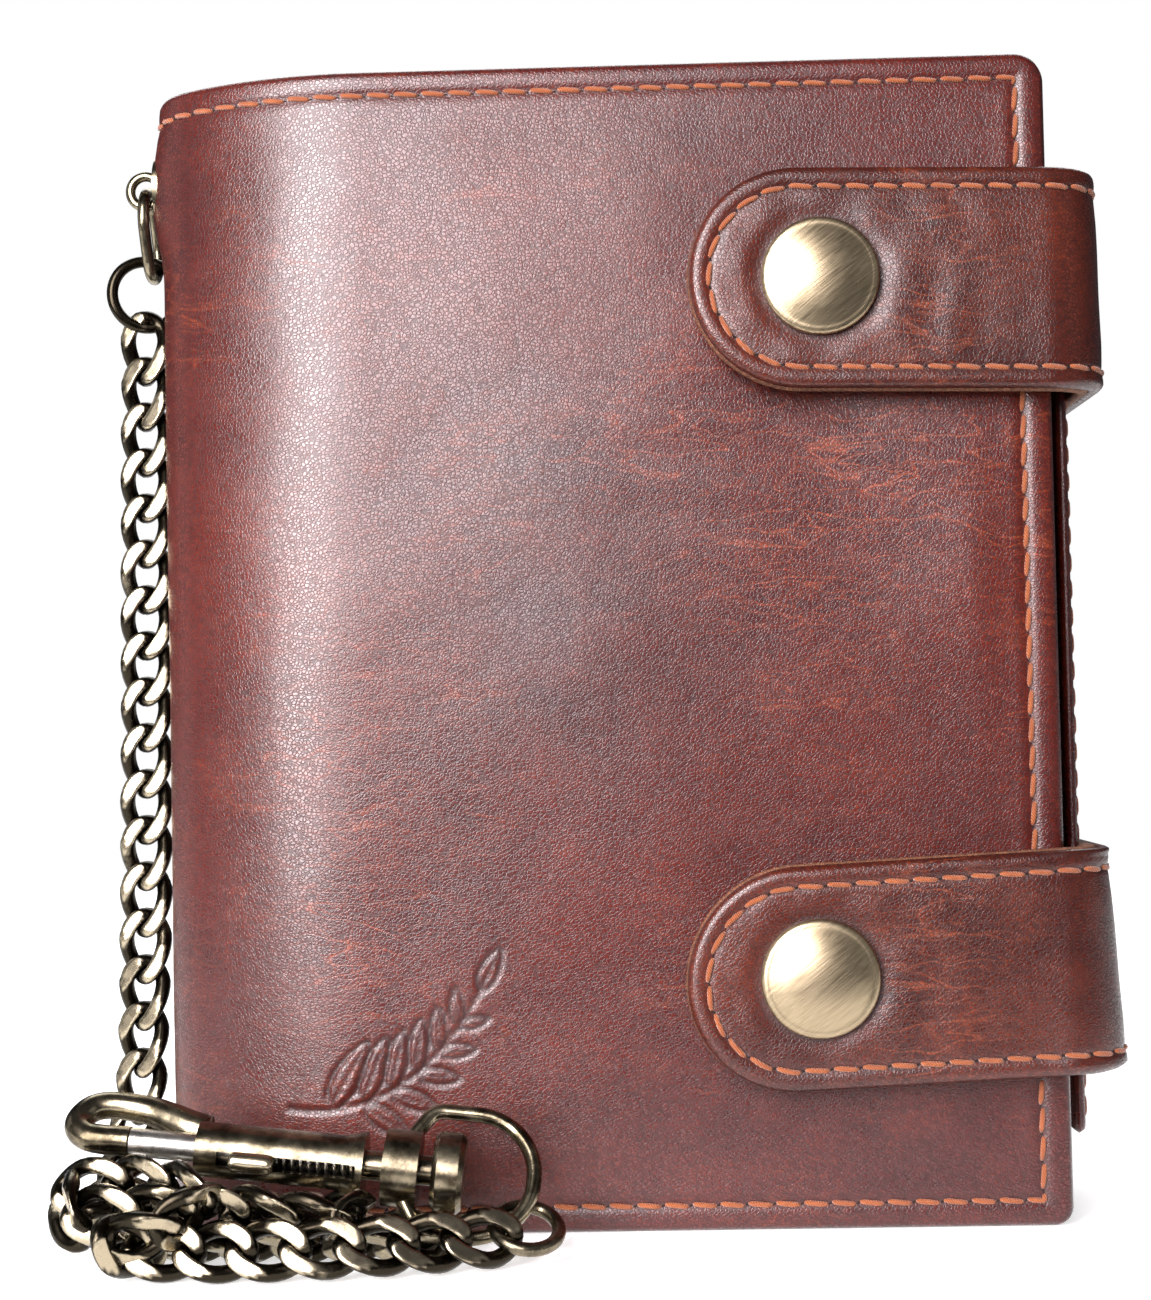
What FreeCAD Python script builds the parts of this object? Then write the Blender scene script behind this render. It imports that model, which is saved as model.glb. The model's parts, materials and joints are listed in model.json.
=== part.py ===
"""Bifold leather wallet with two snap straps and a curb chain with a trigger clasp.

Frame: +Z up, the wallet stands on its bottom edge, +X from the folded spine to the opening edge,
+Y from the front cover to the back cover. The sketch origin used below is the spine's outer line (X),
the front cover's face (Y) and the bottom edge (Z); every sub-part is then placed so that the row's
origin is the bottom centre of the wallet without its chain. All sizes are millimetres.
"""
import FreeCAD, Part
import Sketcher
import math
import os

from FreeCAD import Placement, Rotation, Vector

SIZES = {
    # wallet block
    "wallet_height": 125.0, "front_right": 97.6, "back_right": 99.0, "wallet_depth": 26.0,
    "leather": 1.4, "lining": 0.45, "lining_margin": 0.6, "lining_short": 2.0,
    "corner_top": 3.2, "corner_low": 2.0,
    "small_radius": 9.0, "spine_split": 30.0,
    # fold lines of the spine, as angles on its outline, and the gap left for each fold
    "fold_one_angle": 140.0, "fold_one_gap": 9.0, "fold_two_angle": 100.6, "fold_two_gap": 2.8,
    "fold_depth": 0.8,
    # pockets
    "panel": 0.5, "panel_right": 95.5, "panel_low": 2.5, "panel_top": 121.5, "slot_step": 9.0,
    "slot_sheet": 0.5, "front_stack": 1.95, "leaf_face": 4.4, "leaf_thick": 1.4, "leaf_left": 13.5,
    "leaf_right": 92.0, "leaf_low": 5.0, "leaf_top": 117.0, "window_margin": 9.0, "window_sheet": 0.3,
    "stack_left": 24.5, "flap_face": 7.4, "flap_thick": 1.0, "pouch_face": 8.6, "pouch_depth": 5.6,
    "pouch_wall": 1.1, "pouch_left": 26.0, "pouch_right": 90.0, "pouch_low": 8.0, "pouch_top": 84.0,
    "flap_low": 54.0, "flap_top": 88.0, "flap_fold": 1.2, "flap_strip": 10.0,
    "back_panel_face": 17.0, "divider_face": 21.4, "divider_thick": 0.4,
    # side wall of the back half, seen between the straps at the opening edge
    "wall_near": 5.0, "wall_far": 25.6, "wall_sheet": 1.1, "wall_low": 8.5, "wall_top": 106.0,
    # straps
    "strap_width": 23.4, "strap_layer": 1.3, "strap_gap": 2.2, "strap_outer": 102.8,
    "strap_bend": 6.5, "strap_back_bend": 4.1, "strap_side_start": 4.2, "strap_anchor": 68.0,
    "strap_fold_left": 95.0, "snap_to_tip": 13.8,
    # each strap's snap, and how far its right end rises, in degrees
    "upper_snap_x": 72.8, "upper_level": 100.4, "upper_rise": -1.4,
    "lower_snap_x": 71.1, "lower_level": 27.0, "lower_rise": 2.5,
    # snaps
    "cap_radius": 6.2, "cap_rim": 0.7, "cap_rise": 2.2, "cap_post": 1.6,
    "socket_radius": 5.0, "socket_depth": 1.9, "socket_bore": 2.3, "stud_radius": 2.2,
    "stud_neck": 1.7, "stud_reach": 1.5, "stud_flange": 4.2, "stud_sheet": 0.35,
    "coin_snap": 4.6, "coin_snap_rise": 1.1,
    # chain mount on the spine
    "plate_radius": 3.7, "plate_sheet": 0.7, "plate_middle": 13.0, "plate_level": 115.6,
    "lug_radius": 1.75, "lug_wire": 0.55, "bail_wire": 0.65, "bail_half_width": 3.1,
    "bail_length": 9.9, "bail_lean": 30.0, "ring_radius": 3.85, "ring_wire": 0.65, "ring_level": 104.6,
    "ring_left": 3.2, "ring_back": 17.2, "ring_turn": 22.0,
    # chain
    "chain_width": 6.2, "pile_left": 9.0, "pile_right": 37.6, "pile_front": 24.0, "pile_step": 14.6,
    "pile_chamfer": 2.4, "pile_back": 1.5, "pile_low_top": 4.0, "pile_high_top": 8.6, "pile_low_right": 25.0,
    # clasp, along its own axis from the barrel's mouth
    "clasp_x": 6.8, "clasp_front": 9.5, "clasp_level": 11.3, "clasp_slope": 6.4,
    "barrel_radius": 2.8, "barrel_bore": 1.75, "barrel_length": 17.2, "barrel_flare": 3.4,
    "flare_length": 2.2, "barrel_wall": 0.7, "slot_drop": 0.35, "slot_start": 2.3, "slot_width": 1.5, "plunger_radius": 1.45,
    "plunger_reach": 7.0, "plunger_inside": 8.4, "knob_start": 3.7, "knob_length": 4.5,
    "knob_rise": 1.3, "spring_end": 16.4, "spring_radius": 1.2, "spring_wire": 0.2, "spring_turns": 9.0,
    "hook_wire": 1.35, "hook_gap": 4.6, "hook_turn": 10.1, "hook_lean": 40.0,
    "stem_radius": 1.5, "eye_start": 19.2, "eye_length": 3.6, "eye_radius": 3.9, "eye_bore": 1.56,
    "head_start": 24.2, "head_length": 3.2, "head_radius": 4.1,
    "loop_wire": 0.8, "loop_half": 6.7, "loop_end": 34.5, "loop_lean": 35.0, "loop_corner": 6.5,
    "end_ring_radius": 3.5, "end_ring_wire": 0.65, "end_ring_x": 42.6, "end_ring_front": 12.2,
    "end_ring_level": 4.6,
}

# Sizes that follow from the ones above. The spine's outline is a large arc that leaves the flat face,
# a small arc round the tip and the large arc again, so the large radius follows from the depth.
DERIVED = {
    "big_radius": "(wallet_depth / 2 - small_radius * cos(spine_split)) / (1 - cos(spine_split))",
    "flat_start": "small_radius + (big_radius - small_radius) * sin(spine_split)",
    "left_most": "-plate_sheet - 2 * lug_radius - 0.4 * lug_wire",
    "front_most": "-strap_gap - 2 * strap_layer - cap_rise",
    "back_most": "wallet_depth + 0.05 + 2 * strap_layer",
    "middle_x": "(left_most + strap_outer) / 2",
    "middle_y": "(front_most + back_most) / 2",
}

# The chain's free route from the jump ring to the pile: x, y, z of each point, chosen by hand.
CHAIN_ROUTE = [
    (-3.2, 17.3, 101.0),
    (-4.1, 17.6, 16.0),
    (-5.6, 12.6, 5.4),
    (-6.3, 4.6, 3.2),
    (-5.2, -1.5, 3.2),
]

STRAPS = ("upper", "lower")

CORD_NODES = (
    "chain_bail", "jump_ring", "chain_run", "chain_pile", "chain_end_ring", "clasp_barrel", "clasp_hook",
    "clasp_stem", "clasp_plunger", "clasp_knob", "clasp_spring", "swivel_loop",
)

doc = FreeCAD.newDocument("ChainWallet")
sheet = doc.addObject("Spreadsheet::Sheet", "sizes")
parts = []


def fill_sheet():
    """Write every driving size into its own named cell, with the row origin worked out from them."""
    rows = dict(SIZES)
    rows.update((alias, "=" + text) for alias, text in DERIVED.items())
    for row, (alias, value) in enumerate(rows.items(), start=1):
        sheet.set("A%d" % row, alias)
        sheet.set("B%d" % row, str(value))
        sheet.setAlias("B%d" % row, alias)
    doc.recompute()


def size(alias):
    """One driving size, read back from the sheet."""
    return float(sheet.get(alias))


def formula(text):
    """Turn a formula of cell names into one that a property can be bound to."""
    words = text.replace("(", " ( ").replace(")", " ) ").split()
    known = set(SIZES) | set(DERIVED)
    return " ".join("sizes." + word if word in known else word for word in words)


def bind(thing, **formulas):
    """Bind properties of a document object to formulas of the sheet's cells."""
    for name, text in formulas.items():
        thing.setExpression(name.replace("__", "."), formula(text))


def origin_shift():
    """The placement that carries sketch coordinates to the row's frame."""
    return Placement(Vector(-size("middle_x"), -size("middle_y"), 0), Rotation())


def finish(thing, label):
    """Name one finished sub-part and keep it for export."""
    thing.Label = label
    parts.append(thing)
    return thing


def solid(label, shape):
    """A sub-part whose shape is computed here from the sheet's sizes."""
    thing = doc.addObject("Part::Feature", label)
    thing.Shape = shape.removeSplitter()
    thing.Placement = origin_shift()
    return finish(thing, label)


def edges_through(shape, corners, direction):
    """Numbers of the edges along one direction that pass through the given corner points."""
    found = []
    for number, edge in enumerate(shape.Edges, start=1):
        along = edge.tangentAt(edge.FirstParameter)
        if abs(abs(along.dot(direction)) - 1) > 1e-6:
            continue
        if any(Part.Vertex(corner).distToShape(edge)[0] < 1e-4 for corner in corners):
            found.append(number)
    return found


def sheet_panel(label, left, right, near, thick, low, top, corner_top, corner_low):
    """A flat upright sheet with its right-hand corners rounded, every size a formula of the cells."""
    box = doc.addObject("Part::Box", label + "_block")
    bind(box, Length="%s - ( %s )" % (right, left), Width=thick, Height="%s - ( %s )" % (top, low))
    bind(box, Placement__Base__x="%s - middle_x" % left, Placement__Base__y="%s - middle_y" % near,
         Placement__Base__z=low)
    doc.recompute()
    bounds = box.Shape.BoundBox
    along_y = Vector(0, 1, 0)
    high = Vector(bounds.XMax, bounds.YMin, bounds.ZMax)
    low_corner = Vector(bounds.XMax, bounds.YMin, bounds.ZMin)
    fillet = doc.addObject("Part::Fillet", label)
    fillet.Base = box
    edges = [(number, size(corner_top), size(corner_top))
             for number in edges_through(box.Shape, [high], along_y)]
    edges += [(number, size(corner_low), size(corner_low))
              for number in edges_through(box.Shape, [low_corner], along_y)]
    fillet.Edges = edges
    return finish(fillet, label)


# ---------------------------------------------------------------- outline of the folded leather

def outline_point(inset, angle):
    """A point of the spine's outline, inset from the leather's outer face, at an angle about the bend.

    Angles run from 270 at the front face over 180 at the spine's tip to 90 at the back face.
    """
    depth = size("wallet_depth")
    big = size("big_radius")
    small = size("small_radius")
    turn = size("spine_split")
    front_end = 270 - turn
    back_start = 90 + turn
    if angle >= front_end:
        centre = (size("flat_start"), big)
        radius = big
    elif angle <= back_start:
        centre = (size("flat_start"), depth - big)
        radius = big
    else:
        centre = (small, depth / 2)
        radius = small
    reach = radius - inset
    bend = math.radians(angle)
    return Vector(centre[0] + reach * math.cos(bend), centre[1] + reach * math.sin(bend), 0)


def outline_edges(inset, first, last):
    """Arcs of the spine's outline from one angle down to another, in order."""
    turn = size("spine_split")
    stops = [first] + [a for a in (270 - turn, 90 + turn) if last < a < first] + [last]
    edges = []
    for start, end in zip(stops, stops[1:]):
        middle = (start + end) / 2
        nudge = 1e-7
        edges.append(Part.Arc(outline_point(inset, start - nudge), outline_point(inset, middle),
                              outline_point(inset, end + nudge)).toShape())
    return edges


def folded_sheet(near, far, first, last, front_end=None, back_end=None):
    """The plan of a leather sheet between two insets, round the spine from first to last angle.

    front_end and back_end carry it on along the flat faces to that X.
    """
    depth = size("wallet_depth")
    outer = outline_edges(near, first, last)
    inner = outline_edges(far, first, last)
    edges = outer + inner
    outer_first = outer[0].valueAt(outer[0].FirstParameter)
    inner_first = inner[0].valueAt(inner[0].FirstParameter)
    outer_last = outer[-1].valueAt(outer[-1].LastParameter)
    inner_last = inner[-1].valueAt(inner[-1].LastParameter)

    def close_end(outer_point, inner_point, end, outer_y, inner_y):
        if end is None:
            return [Part.makeLine(outer_point, inner_point)]
        outer_corner = Vector(end, outer_y, 0)
        inner_corner = Vector(end, inner_y, 0)
        return [Part.makeLine(outer_point, outer_corner), Part.makeLine(outer_corner, inner_corner),
                Part.makeLine(inner_corner, inner_point)]

    edges += close_end(outer_first, inner_first, front_end, near, far)
    edges += close_end(outer_last, inner_last, back_end, depth - near, depth - far)
    return Part.Face(Part.Wire(Part.__sortEdges__(edges)))


def extruded(face, low, top):
    """An upright solid over a plan face."""
    block = face.extrude(Vector(0, 0, top - low))
    block.translate(Vector(0, 0, low))
    return block


def round_corners(shape, corner_x, radius_top, radius_low):
    """Round the two outer corners of an upright sheet at one X."""
    bounds = shape.BoundBox
    result = shape
    for level, radius in ((bounds.ZMax, radius_top), (bounds.ZMin, radius_low)):
        edges = [edge for edge in result.Edges
                 if edge.BoundBox.XLength < 1e-5 and edge.BoundBox.ZLength < 1e-5
                 and abs(edge.BoundBox.XMin - corner_x) < 1e-4 and abs(edge.BoundBox.ZMin - level) < 1e-4]
        result = result.makeFillet(radius, edges)
    return result


def fold_point(angle_name):
    """Where a fold line of the spine passes, on the leather's middle line."""
    return outline_point(size("fold_depth"), size(angle_name))


def build_covers():
    """One leather skin and one lining, each in three pieces that meet at the spine's two fold lines."""
    top = size("wallet_height")
    leather = size("leather")
    inner = leather + size("lining")
    one = size("fold_one_angle")
    one_gap = size("fold_one_gap")
    two = size("fold_two_angle")
    two_gap = size("fold_two_gap")
    front_right = size("front_right")
    back_right = size("back_right")
    corner_top = size("corner_top")
    corner_low = size("corner_low")
    margin = size("lining_margin")
    short = size("lining_short")
    front = extruded(folded_sheet(0, leather, 270, one + one_gap, front_end=front_right), 0, top)
    back = extruded(folded_sheet(0, leather, two - two_gap, 90, back_end=back_right), 0, top)
    front = round_corners(front, front_right, corner_top, corner_low)
    back = round_corners(back, back_right, corner_top, corner_low)
    spine = extruded(folded_sheet(0, leather, one - one_gap, two + two_gap), 0, top)
    stud_hole = upright_hole(size("stud_neck") + 0.05, -1, leather + 1)
    for name in STRAPS:
        front = front.cut(stud_hole.translated(snap_point(name)))
    solid("front_cover", front)
    solid("spine_cover", spine)
    solid("back_cover", back)
    low = margin
    high = top - margin
    front_lining = extruded(folded_sheet(leather, inner, 270, one + one_gap + 3,
                                         front_end=front_right - short), low, high)
    flange = upright_hole(size("stud_flange") + 0.1, leather - 1, inner + 1)
    for name in STRAPS:
        front_lining = front_lining.cut(flange.translated(snap_point(name)))
    solid("front_lining", front_lining)
    solid("spine_lining", extruded(folded_sheet(leather, inner, one - one_gap - 3, two + two_gap + 1.5),
                                   low, high))
    solid("back_lining", extruded(folded_sheet(leather, inner, two - two_gap - 1.5, 90,
                                               back_end=back_right - short), low, high))


def build_side_wall():
    """A strip of leather that closes the back half's opening edge, sewn to the back cover's edge."""
    left = size("back_right")
    right = left + size("wall_sheet")
    near = size("wall_near")
    far = size("wall_far")
    bevel = 1.0
    plan = Part.makePolygon([
        Vector(left, near, 0), Vector(right, near, 0), Vector(right, far - bevel, 0),
        Vector(right - 0.4 * bevel, far, 0), Vector(left, far, 0), Vector(left, near, 0),
    ])
    solid("side_wall", extruded(Part.Face(plan), size("wall_low"), size("wall_top")))


def upright_hole(radius, near, far):
    """A cylinder along Y, as a cutter or a disc, from one depth to another."""
    return Part.makeCylinder(radius, far - near, Vector(0, near, 0), Vector(0, 1, 0))


# ---------------------------------------------------------------- pockets, leaf and coin pouch

def build_front_pockets():
    """The panel sewn inside the front cover and three card slots stepped down on it."""
    sheet_panel("front_panel", "stack_left", "panel_right", "front_stack", "panel",
                "panel_low", "panel_top", "corner_top", "corner_low")
    for number in (1, 2, 3):
        near = "front_stack + panel + %d * slot_sheet" % (number - 1)
        sheet_panel("card_slot_front_%d" % number, "stack_left + 1", "panel_right - 1", near,
                    "slot_sheet", "panel_low + 1", "panel_top - 30 - %d * slot_step" % number,
                    "corner_low", "corner_low")


def build_leaf():
    """The turning leaf: a leather frame round a clear window, hinged at its left edge."""
    near = size("leaf_face")
    thick = size("leaf_thick")
    left = size("leaf_left")
    right = size("leaf_right")
    low = size("leaf_low")
    top = size("leaf_top")
    margin = size("window_margin")
    frame = Part.makeBox(right - left, thick, top - low, Vector(left, near, low))
    frame = round_corners(frame, right, size("corner_top"), size("corner_top"))
    hole = Part.makeBox(right - left - 2 * margin, thick + 2, top - low - 2 * margin,
                        Vector(left + margin, near - 1, low + margin))
    solid("leaf_frame", frame.cut(hole))
    pane = size("window_sheet")
    window = Part.makeBox(right - left - 2 * margin, pane, top - low - 2 * margin,
                          Vector(left + margin, near + (thick - pane) / 2, low + margin))
    solid("leaf_window", window)


def build_back_pockets():
    """Back half: card slots, sewn panel, bill divider and the flat coin pouch with its snapped flap."""
    sheet_panel("back_panel", "stack_left", "panel_right + 1.4", "back_panel_face", "2 * panel",
                "panel_low", "panel_top", "corner_top", "corner_low")
    for number in (1, 2, 3):
        near = "back_panel_face - %d * slot_sheet" % number
        sheet_panel("card_slot_back_%d" % number, "stack_left + 1", "panel_right", near,
                    "slot_sheet", "panel_low + 1", "panel_top - %d * slot_step" % number,
                    "corner_low", "corner_low")
    sheet_panel("bill_divider", "stack_left + 1", "panel_right", "divider_face", "divider_thick",
                "panel_low", "panel_top - 4", "corner_low", "corner_low")
    build_coin_pouch()


def build_coin_pouch():
    """A thin leather pouch, open at its top, with a flap held by a small snap."""
    near = size("pouch_face")
    depth = size("pouch_depth")
    wall = size("pouch_wall")
    left = size("pouch_left")
    right = size("pouch_right")
    low = size("pouch_low")
    top = size("pouch_top")
    pouch = Part.makeBox(right - left, depth, top - low, Vector(left, near, low))
    hollow = Part.makeBox(right - left - 2 * wall, depth - 2 * wall, top - low,
                          Vector(left + wall, near + wall, low + wall))
    centre_x = (left + right) / 2
    snap_level = size("flap_low") + 8
    pin = upright_hole(1.0, near - 1, near + wall + 1).translated(Vector(centre_x, 0, snap_level))
    solid("coin_pouch", pouch.cut(hollow).cut(pin))
    face = size("flap_face")
    thick = size("flap_thick")
    flap_low = size("flap_low")
    flap_top = size("flap_top")
    flap = Part.makeBox(right - left, thick, flap_top - flap_low, Vector(left, face, flap_low))
    fold = size("flap_fold")
    drop = size("flap_strip")
    over = Part.makeBox(right - left, near + depth - face, fold, Vector(left, face, flap_top - fold))
    strip = Part.makeBox(right - left, thick, drop, Vector(left, near + depth, flap_top - drop))
    flap = flap.fuse([over, strip])
    flap = flap.cut(upright_hole(1.0, face - 1, face + thick + 0.1).translated(
        Vector(centre_x, 0, snap_level)))
    solid("coin_flap", flap)
    radius = size("coin_snap")
    rise = size("coin_snap_rise")
    cap = Part.makeCylinder(radius, rise, Vector(centre_x, face - rise, snap_level), Vector(0, 1, 0))
    cap = cap.makeFillet(rise * 0.7, [edge for edge in cap.Edges if edge.BoundBox.YMax < face - rise + 0.01
                                      and edge.Length > radius])
    post = upright_hole(0.95, face, near + wall + 0.6).translated(Vector(centre_x, 0, snap_level))
    solid("coin_snap_cap", cap.fuse(post))


# ---------------------------------------------------------------- straps and snaps

def snap_point(name):
    """Centre of a strap's snap on the front cover's face."""
    return Vector(size(name + "_snap_x"), 0, size(name + "_level"))


def base_level(name):
    """Height of a strap's middle line where its tilted tab meets its upright base."""
    run = size("strap_fold_left") - size(name + "_snap_x")
    return size(name + "_level") + run * math.tan(math.radians(size(name + "_rise")))


def strap_faces():
    """Y of the strap's inner face, its seam between the two layers and its outer face, on the front."""
    inner = -size("strap_gap")
    return inner, inner - size("strap_layer"), inner - 2 * size("strap_layer")


def build_strap_tab(name):
    """The strap's free end: outer leather and backing with a round tip, sketched and padded."""
    seam, outer = strap_faces()[1:]
    for label, near, inset in (("strap_%s_tab" % name, outer, 0.0), ("strap_%s_backing" % name, seam, 0.25)):
        body = doc.addObject("PartDesign::Body", label)
        plane = next(f for f in body.Origin.OriginFeatures if f.Role == "XZ_Plane")
        sketch = body.newObject("Sketcher::SketchObject", label + "_outline")
        sketch.AttachmentSupport = (plane, [""])
        sketch.MapMode = "FlatFace"
        draw_tab(sketch, name, inset)
        pad = body.newObject("PartDesign::Pad", label + "_pad")
        pad.Profile = sketch
        bind(pad, Length="strap_layer")
        pad.Reversed = True
        doc.recompute()
        pocket = body.newObject("PartDesign::Pocket", label + "_rivet_hole")
        hole = body.newObject("Sketcher::SketchObject", label + "_hole")
        hole.AttachmentSupport = (plane, [""])
        hole.MapMode = "FlatFace"
        circle = hole.addGeometry(Part.Circle(Vector(0, 0, 0), Vector(0, 0, 1), size("cap_post")))
        hole.addConstraint(Sketcher.Constraint("Coincident", circle, 3, -1, 1))
        reach = hole.addConstraint(Sketcher.Constraint("Radius", circle, size("cap_post")))
        hole.setExpression("Constraints[%d]" % reach, formula("cap_post"))
        pocket.Profile = hole
        pocket.Type = 1
        pocket.Midplane = True
        doc.recompute()
        turn = Rotation(Vector(0, 1, 0), -size(name + "_rise"))
        place = Placement(snap_point(name) + Vector(0, near, 0), turn)
        body.Placement = origin_shift().multiply(place)
        finish(body, label)


def draw_tab(sketch, name, inset):
    """Outline of a strap end about its snap: half circle at the tip, two long edges, a square root."""
    half = size("strap_width") / 2 - inset
    tip = size("strap_width") / 2 - size("snap_to_tip")
    root = size("strap_fold_left") - size(name + "_snap_x")
    top_line = sketch.addGeometry(Part.LineSegment(Vector(tip, half, 0), Vector(root, half, 0)))
    end_line = sketch.addGeometry(Part.LineSegment(Vector(root, half, 0), Vector(root, -half, 0)))
    low_line = sketch.addGeometry(Part.LineSegment(Vector(root, -half, 0), Vector(tip, -half, 0)))
    round_tip = sketch.addGeometry(Part.ArcOfCircle(
        Part.Circle(Vector(tip, 0, 0), Vector(0, 0, 1), half), math.pi / 2, 3 * math.pi / 2))
    for first, first_end, second, second_end in ((top_line, 2, end_line, 1), (end_line, 2, low_line, 1),
                                                 (top_line, 1, round_tip, 1), (low_line, 2, round_tip, 2)):
        sketch.addConstraint(Sketcher.Constraint("Coincident", first, first_end, second, second_end))
    sketch.addConstraint(Sketcher.Constraint("Horizontal", top_line))
    sketch.addConstraint(Sketcher.Constraint("Horizontal", low_line))
    sketch.addConstraint(Sketcher.Constraint("Vertical", end_line))
    sketch.addConstraint(Sketcher.Constraint("PointOnObject", round_tip, 3, -1))
    width = sketch.addConstraint(Sketcher.Constraint("DistanceY", end_line, 2, end_line, 1, 2 * half))
    sketch.setExpression("Constraints[%d]" % width, formula("strap_width - %s" % (2 * inset)))
    reach = sketch.addConstraint(Sketcher.Constraint("DistanceX", -1, 1, end_line, 1, root))
    sketch.setExpression("Constraints[%d]" % reach, formula("strap_fold_left - %s_snap_x" % name))
    start = sketch.addConstraint(Sketcher.Constraint("DistanceX", round_tip, 3, -1, 1, -tip))
    sketch.setExpression("Constraints[%d]" % start, formula("snap_to_tip - strap_width / 2"))


def build_strap_base(name):
    """The strap's fixed part: up the wallet's edge, round to the back and sewn flat on it."""
    thick = 2 * size("strap_layer")
    outer = size("strap_outer")
    side_start = size("strap_side_start")
    bend = size("strap_back_bend")
    back = size("wallet_depth") + 0.05 + thick
    anchor = size("strap_anchor")
    centre = Vector(outer - bend, back - bend, 0)
    slant = math.sqrt(0.5)

    def corner(radius):
        return centre + Vector(radius * slant, radius * slant, 0)

    inner_bend = bend - thick
    edges = [
        Part.makeLine(Vector(outer, side_start, 0), Vector(outer, back - bend, 0)),
        Part.Arc(Vector(outer, back - bend, 0), corner(bend), Vector(outer - bend, back, 0)).toShape(),
        Part.makeLine(Vector(outer - bend, back, 0), Vector(anchor, back, 0)),
        Part.makeLine(Vector(anchor, back, 0), Vector(anchor, back - thick, 0)),
        Part.makeLine(Vector(anchor, back - thick, 0), Vector(outer - bend, back - thick, 0)),
        Part.Arc(Vector(outer - bend, back - thick, 0), corner(inner_bend),
                 Vector(outer - thick, back - bend, 0)).toShape(),
        Part.makeLine(Vector(outer - thick, back - bend, 0), Vector(outer - thick, side_start, 0)),
        Part.makeLine(Vector(outer - thick, side_start, 0), Vector(outer, side_start, 0)),
    ]
    half = size("strap_width") / 2
    level = base_level(name)
    plan = Part.Face(Part.Wire(Part.__sortEdges__(edges)))
    solid("strap_%s_base" % name, extruded(plan, level - half, level + half))


def revolve_about_y(points):
    """A turned solid about the Y axis from a list of (radius, y) points."""
    ring = [Vector(radius, depth, 0) for radius, depth in points]
    face = Part.Face(Part.makePolygon(ring + [ring[0]]))
    return face.revolve(Vector(0, 0, 0), Vector(0, 1, 0), 360)


def build_snap(name):
    """Snap fastener: domed cap and post, socket behind the strap, stud riveted to the front cover."""
    inner, _, outer = strap_faces()
    place = snap_point(name)
    radius = size("cap_radius")
    rise = size("cap_rise")
    rim = size("cap_rim")
    dome_radius = (radius ** 2 + (rise - rim) ** 2) / (2 * (rise - rim))
    ball = Part.makeSphere(dome_radius, Vector(0, outer - rise + dome_radius, 0))
    disc = upright_hole(radius, outer - rise - 1, outer)
    cap = disc.common(ball)
    post = upright_hole(size("cap_post") - 0.05, outer, inner - 0.02)
    solid("snap_cap_%s" % name, cap.fuse(post).translated(place))
    depth = size("socket_depth")
    bore = size("socket_bore")
    socket = revolve_about_y([
        (bore, inner), (size("socket_radius") - 0.6, inner), (size("socket_radius"), inner + 0.6),
        (size("socket_radius"), inner + depth - 0.3), (size("socket_radius") - 0.3, inner + depth),
        (bore, inner + depth),
    ])
    solid("snap_socket_%s" % name, socket.translated(place))
    leather = size("leather")
    reach = size("stud_reach")
    flange = size("stud_flange")
    sheet_metal = size("stud_sheet")
    neck = size("stud_neck")
    ball_radius = size("stud_radius")
    stud = revolve_about_y([
        (0, -reach), (ball_radius - 0.5, -reach), (ball_radius, -reach + 0.45), (neck, -reach + 1.0),
        (neck, leather), (flange, leather), (flange, leather + sheet_metal), (0, leather + sheet_metal),
    ])
    solid("snap_stud_%s" % name, stud.translated(place))


# ---------------------------------------------------------------- rings, chain and clasp

def rounded_path(points, radii):
    """Straight runs joined by tangent arcs; radii has one entry for each inner point."""
    edges = []
    start = points[0]
    for before, here, after, radius in zip(points, points[1:], points[2:], radii):
        into = (here - before).normalize()
        out = (after - here).normalize()
        turn = into.getAngle(out)
        setback = radius * math.tan(turn / 2)
        first = here - into * setback
        last = here + out * setback
        bisector = (out - into).normalize()
        middle = here + bisector * (radius / math.cos(turn / 2) - radius)
        if (first - start).Length > 1e-6:
            edges.append(Part.makeLine(start, first))
        edges.append(Part.Arc(first, middle, last).toShape())
        start = last
    edges.append(Part.makeLine(start, points[-1]))
    return Part.Wire(edges)


def swept(path, radius):
    """A round wire along a path."""
    first = path.Edges[0]
    start = first.valueAt(first.FirstParameter)
    along = first.tangentAt(first.FirstParameter)
    ring = Part.Wire([Part.Circle(start, along, radius).toShape()])
    return path.makePipeShell([ring], True, True)


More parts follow.
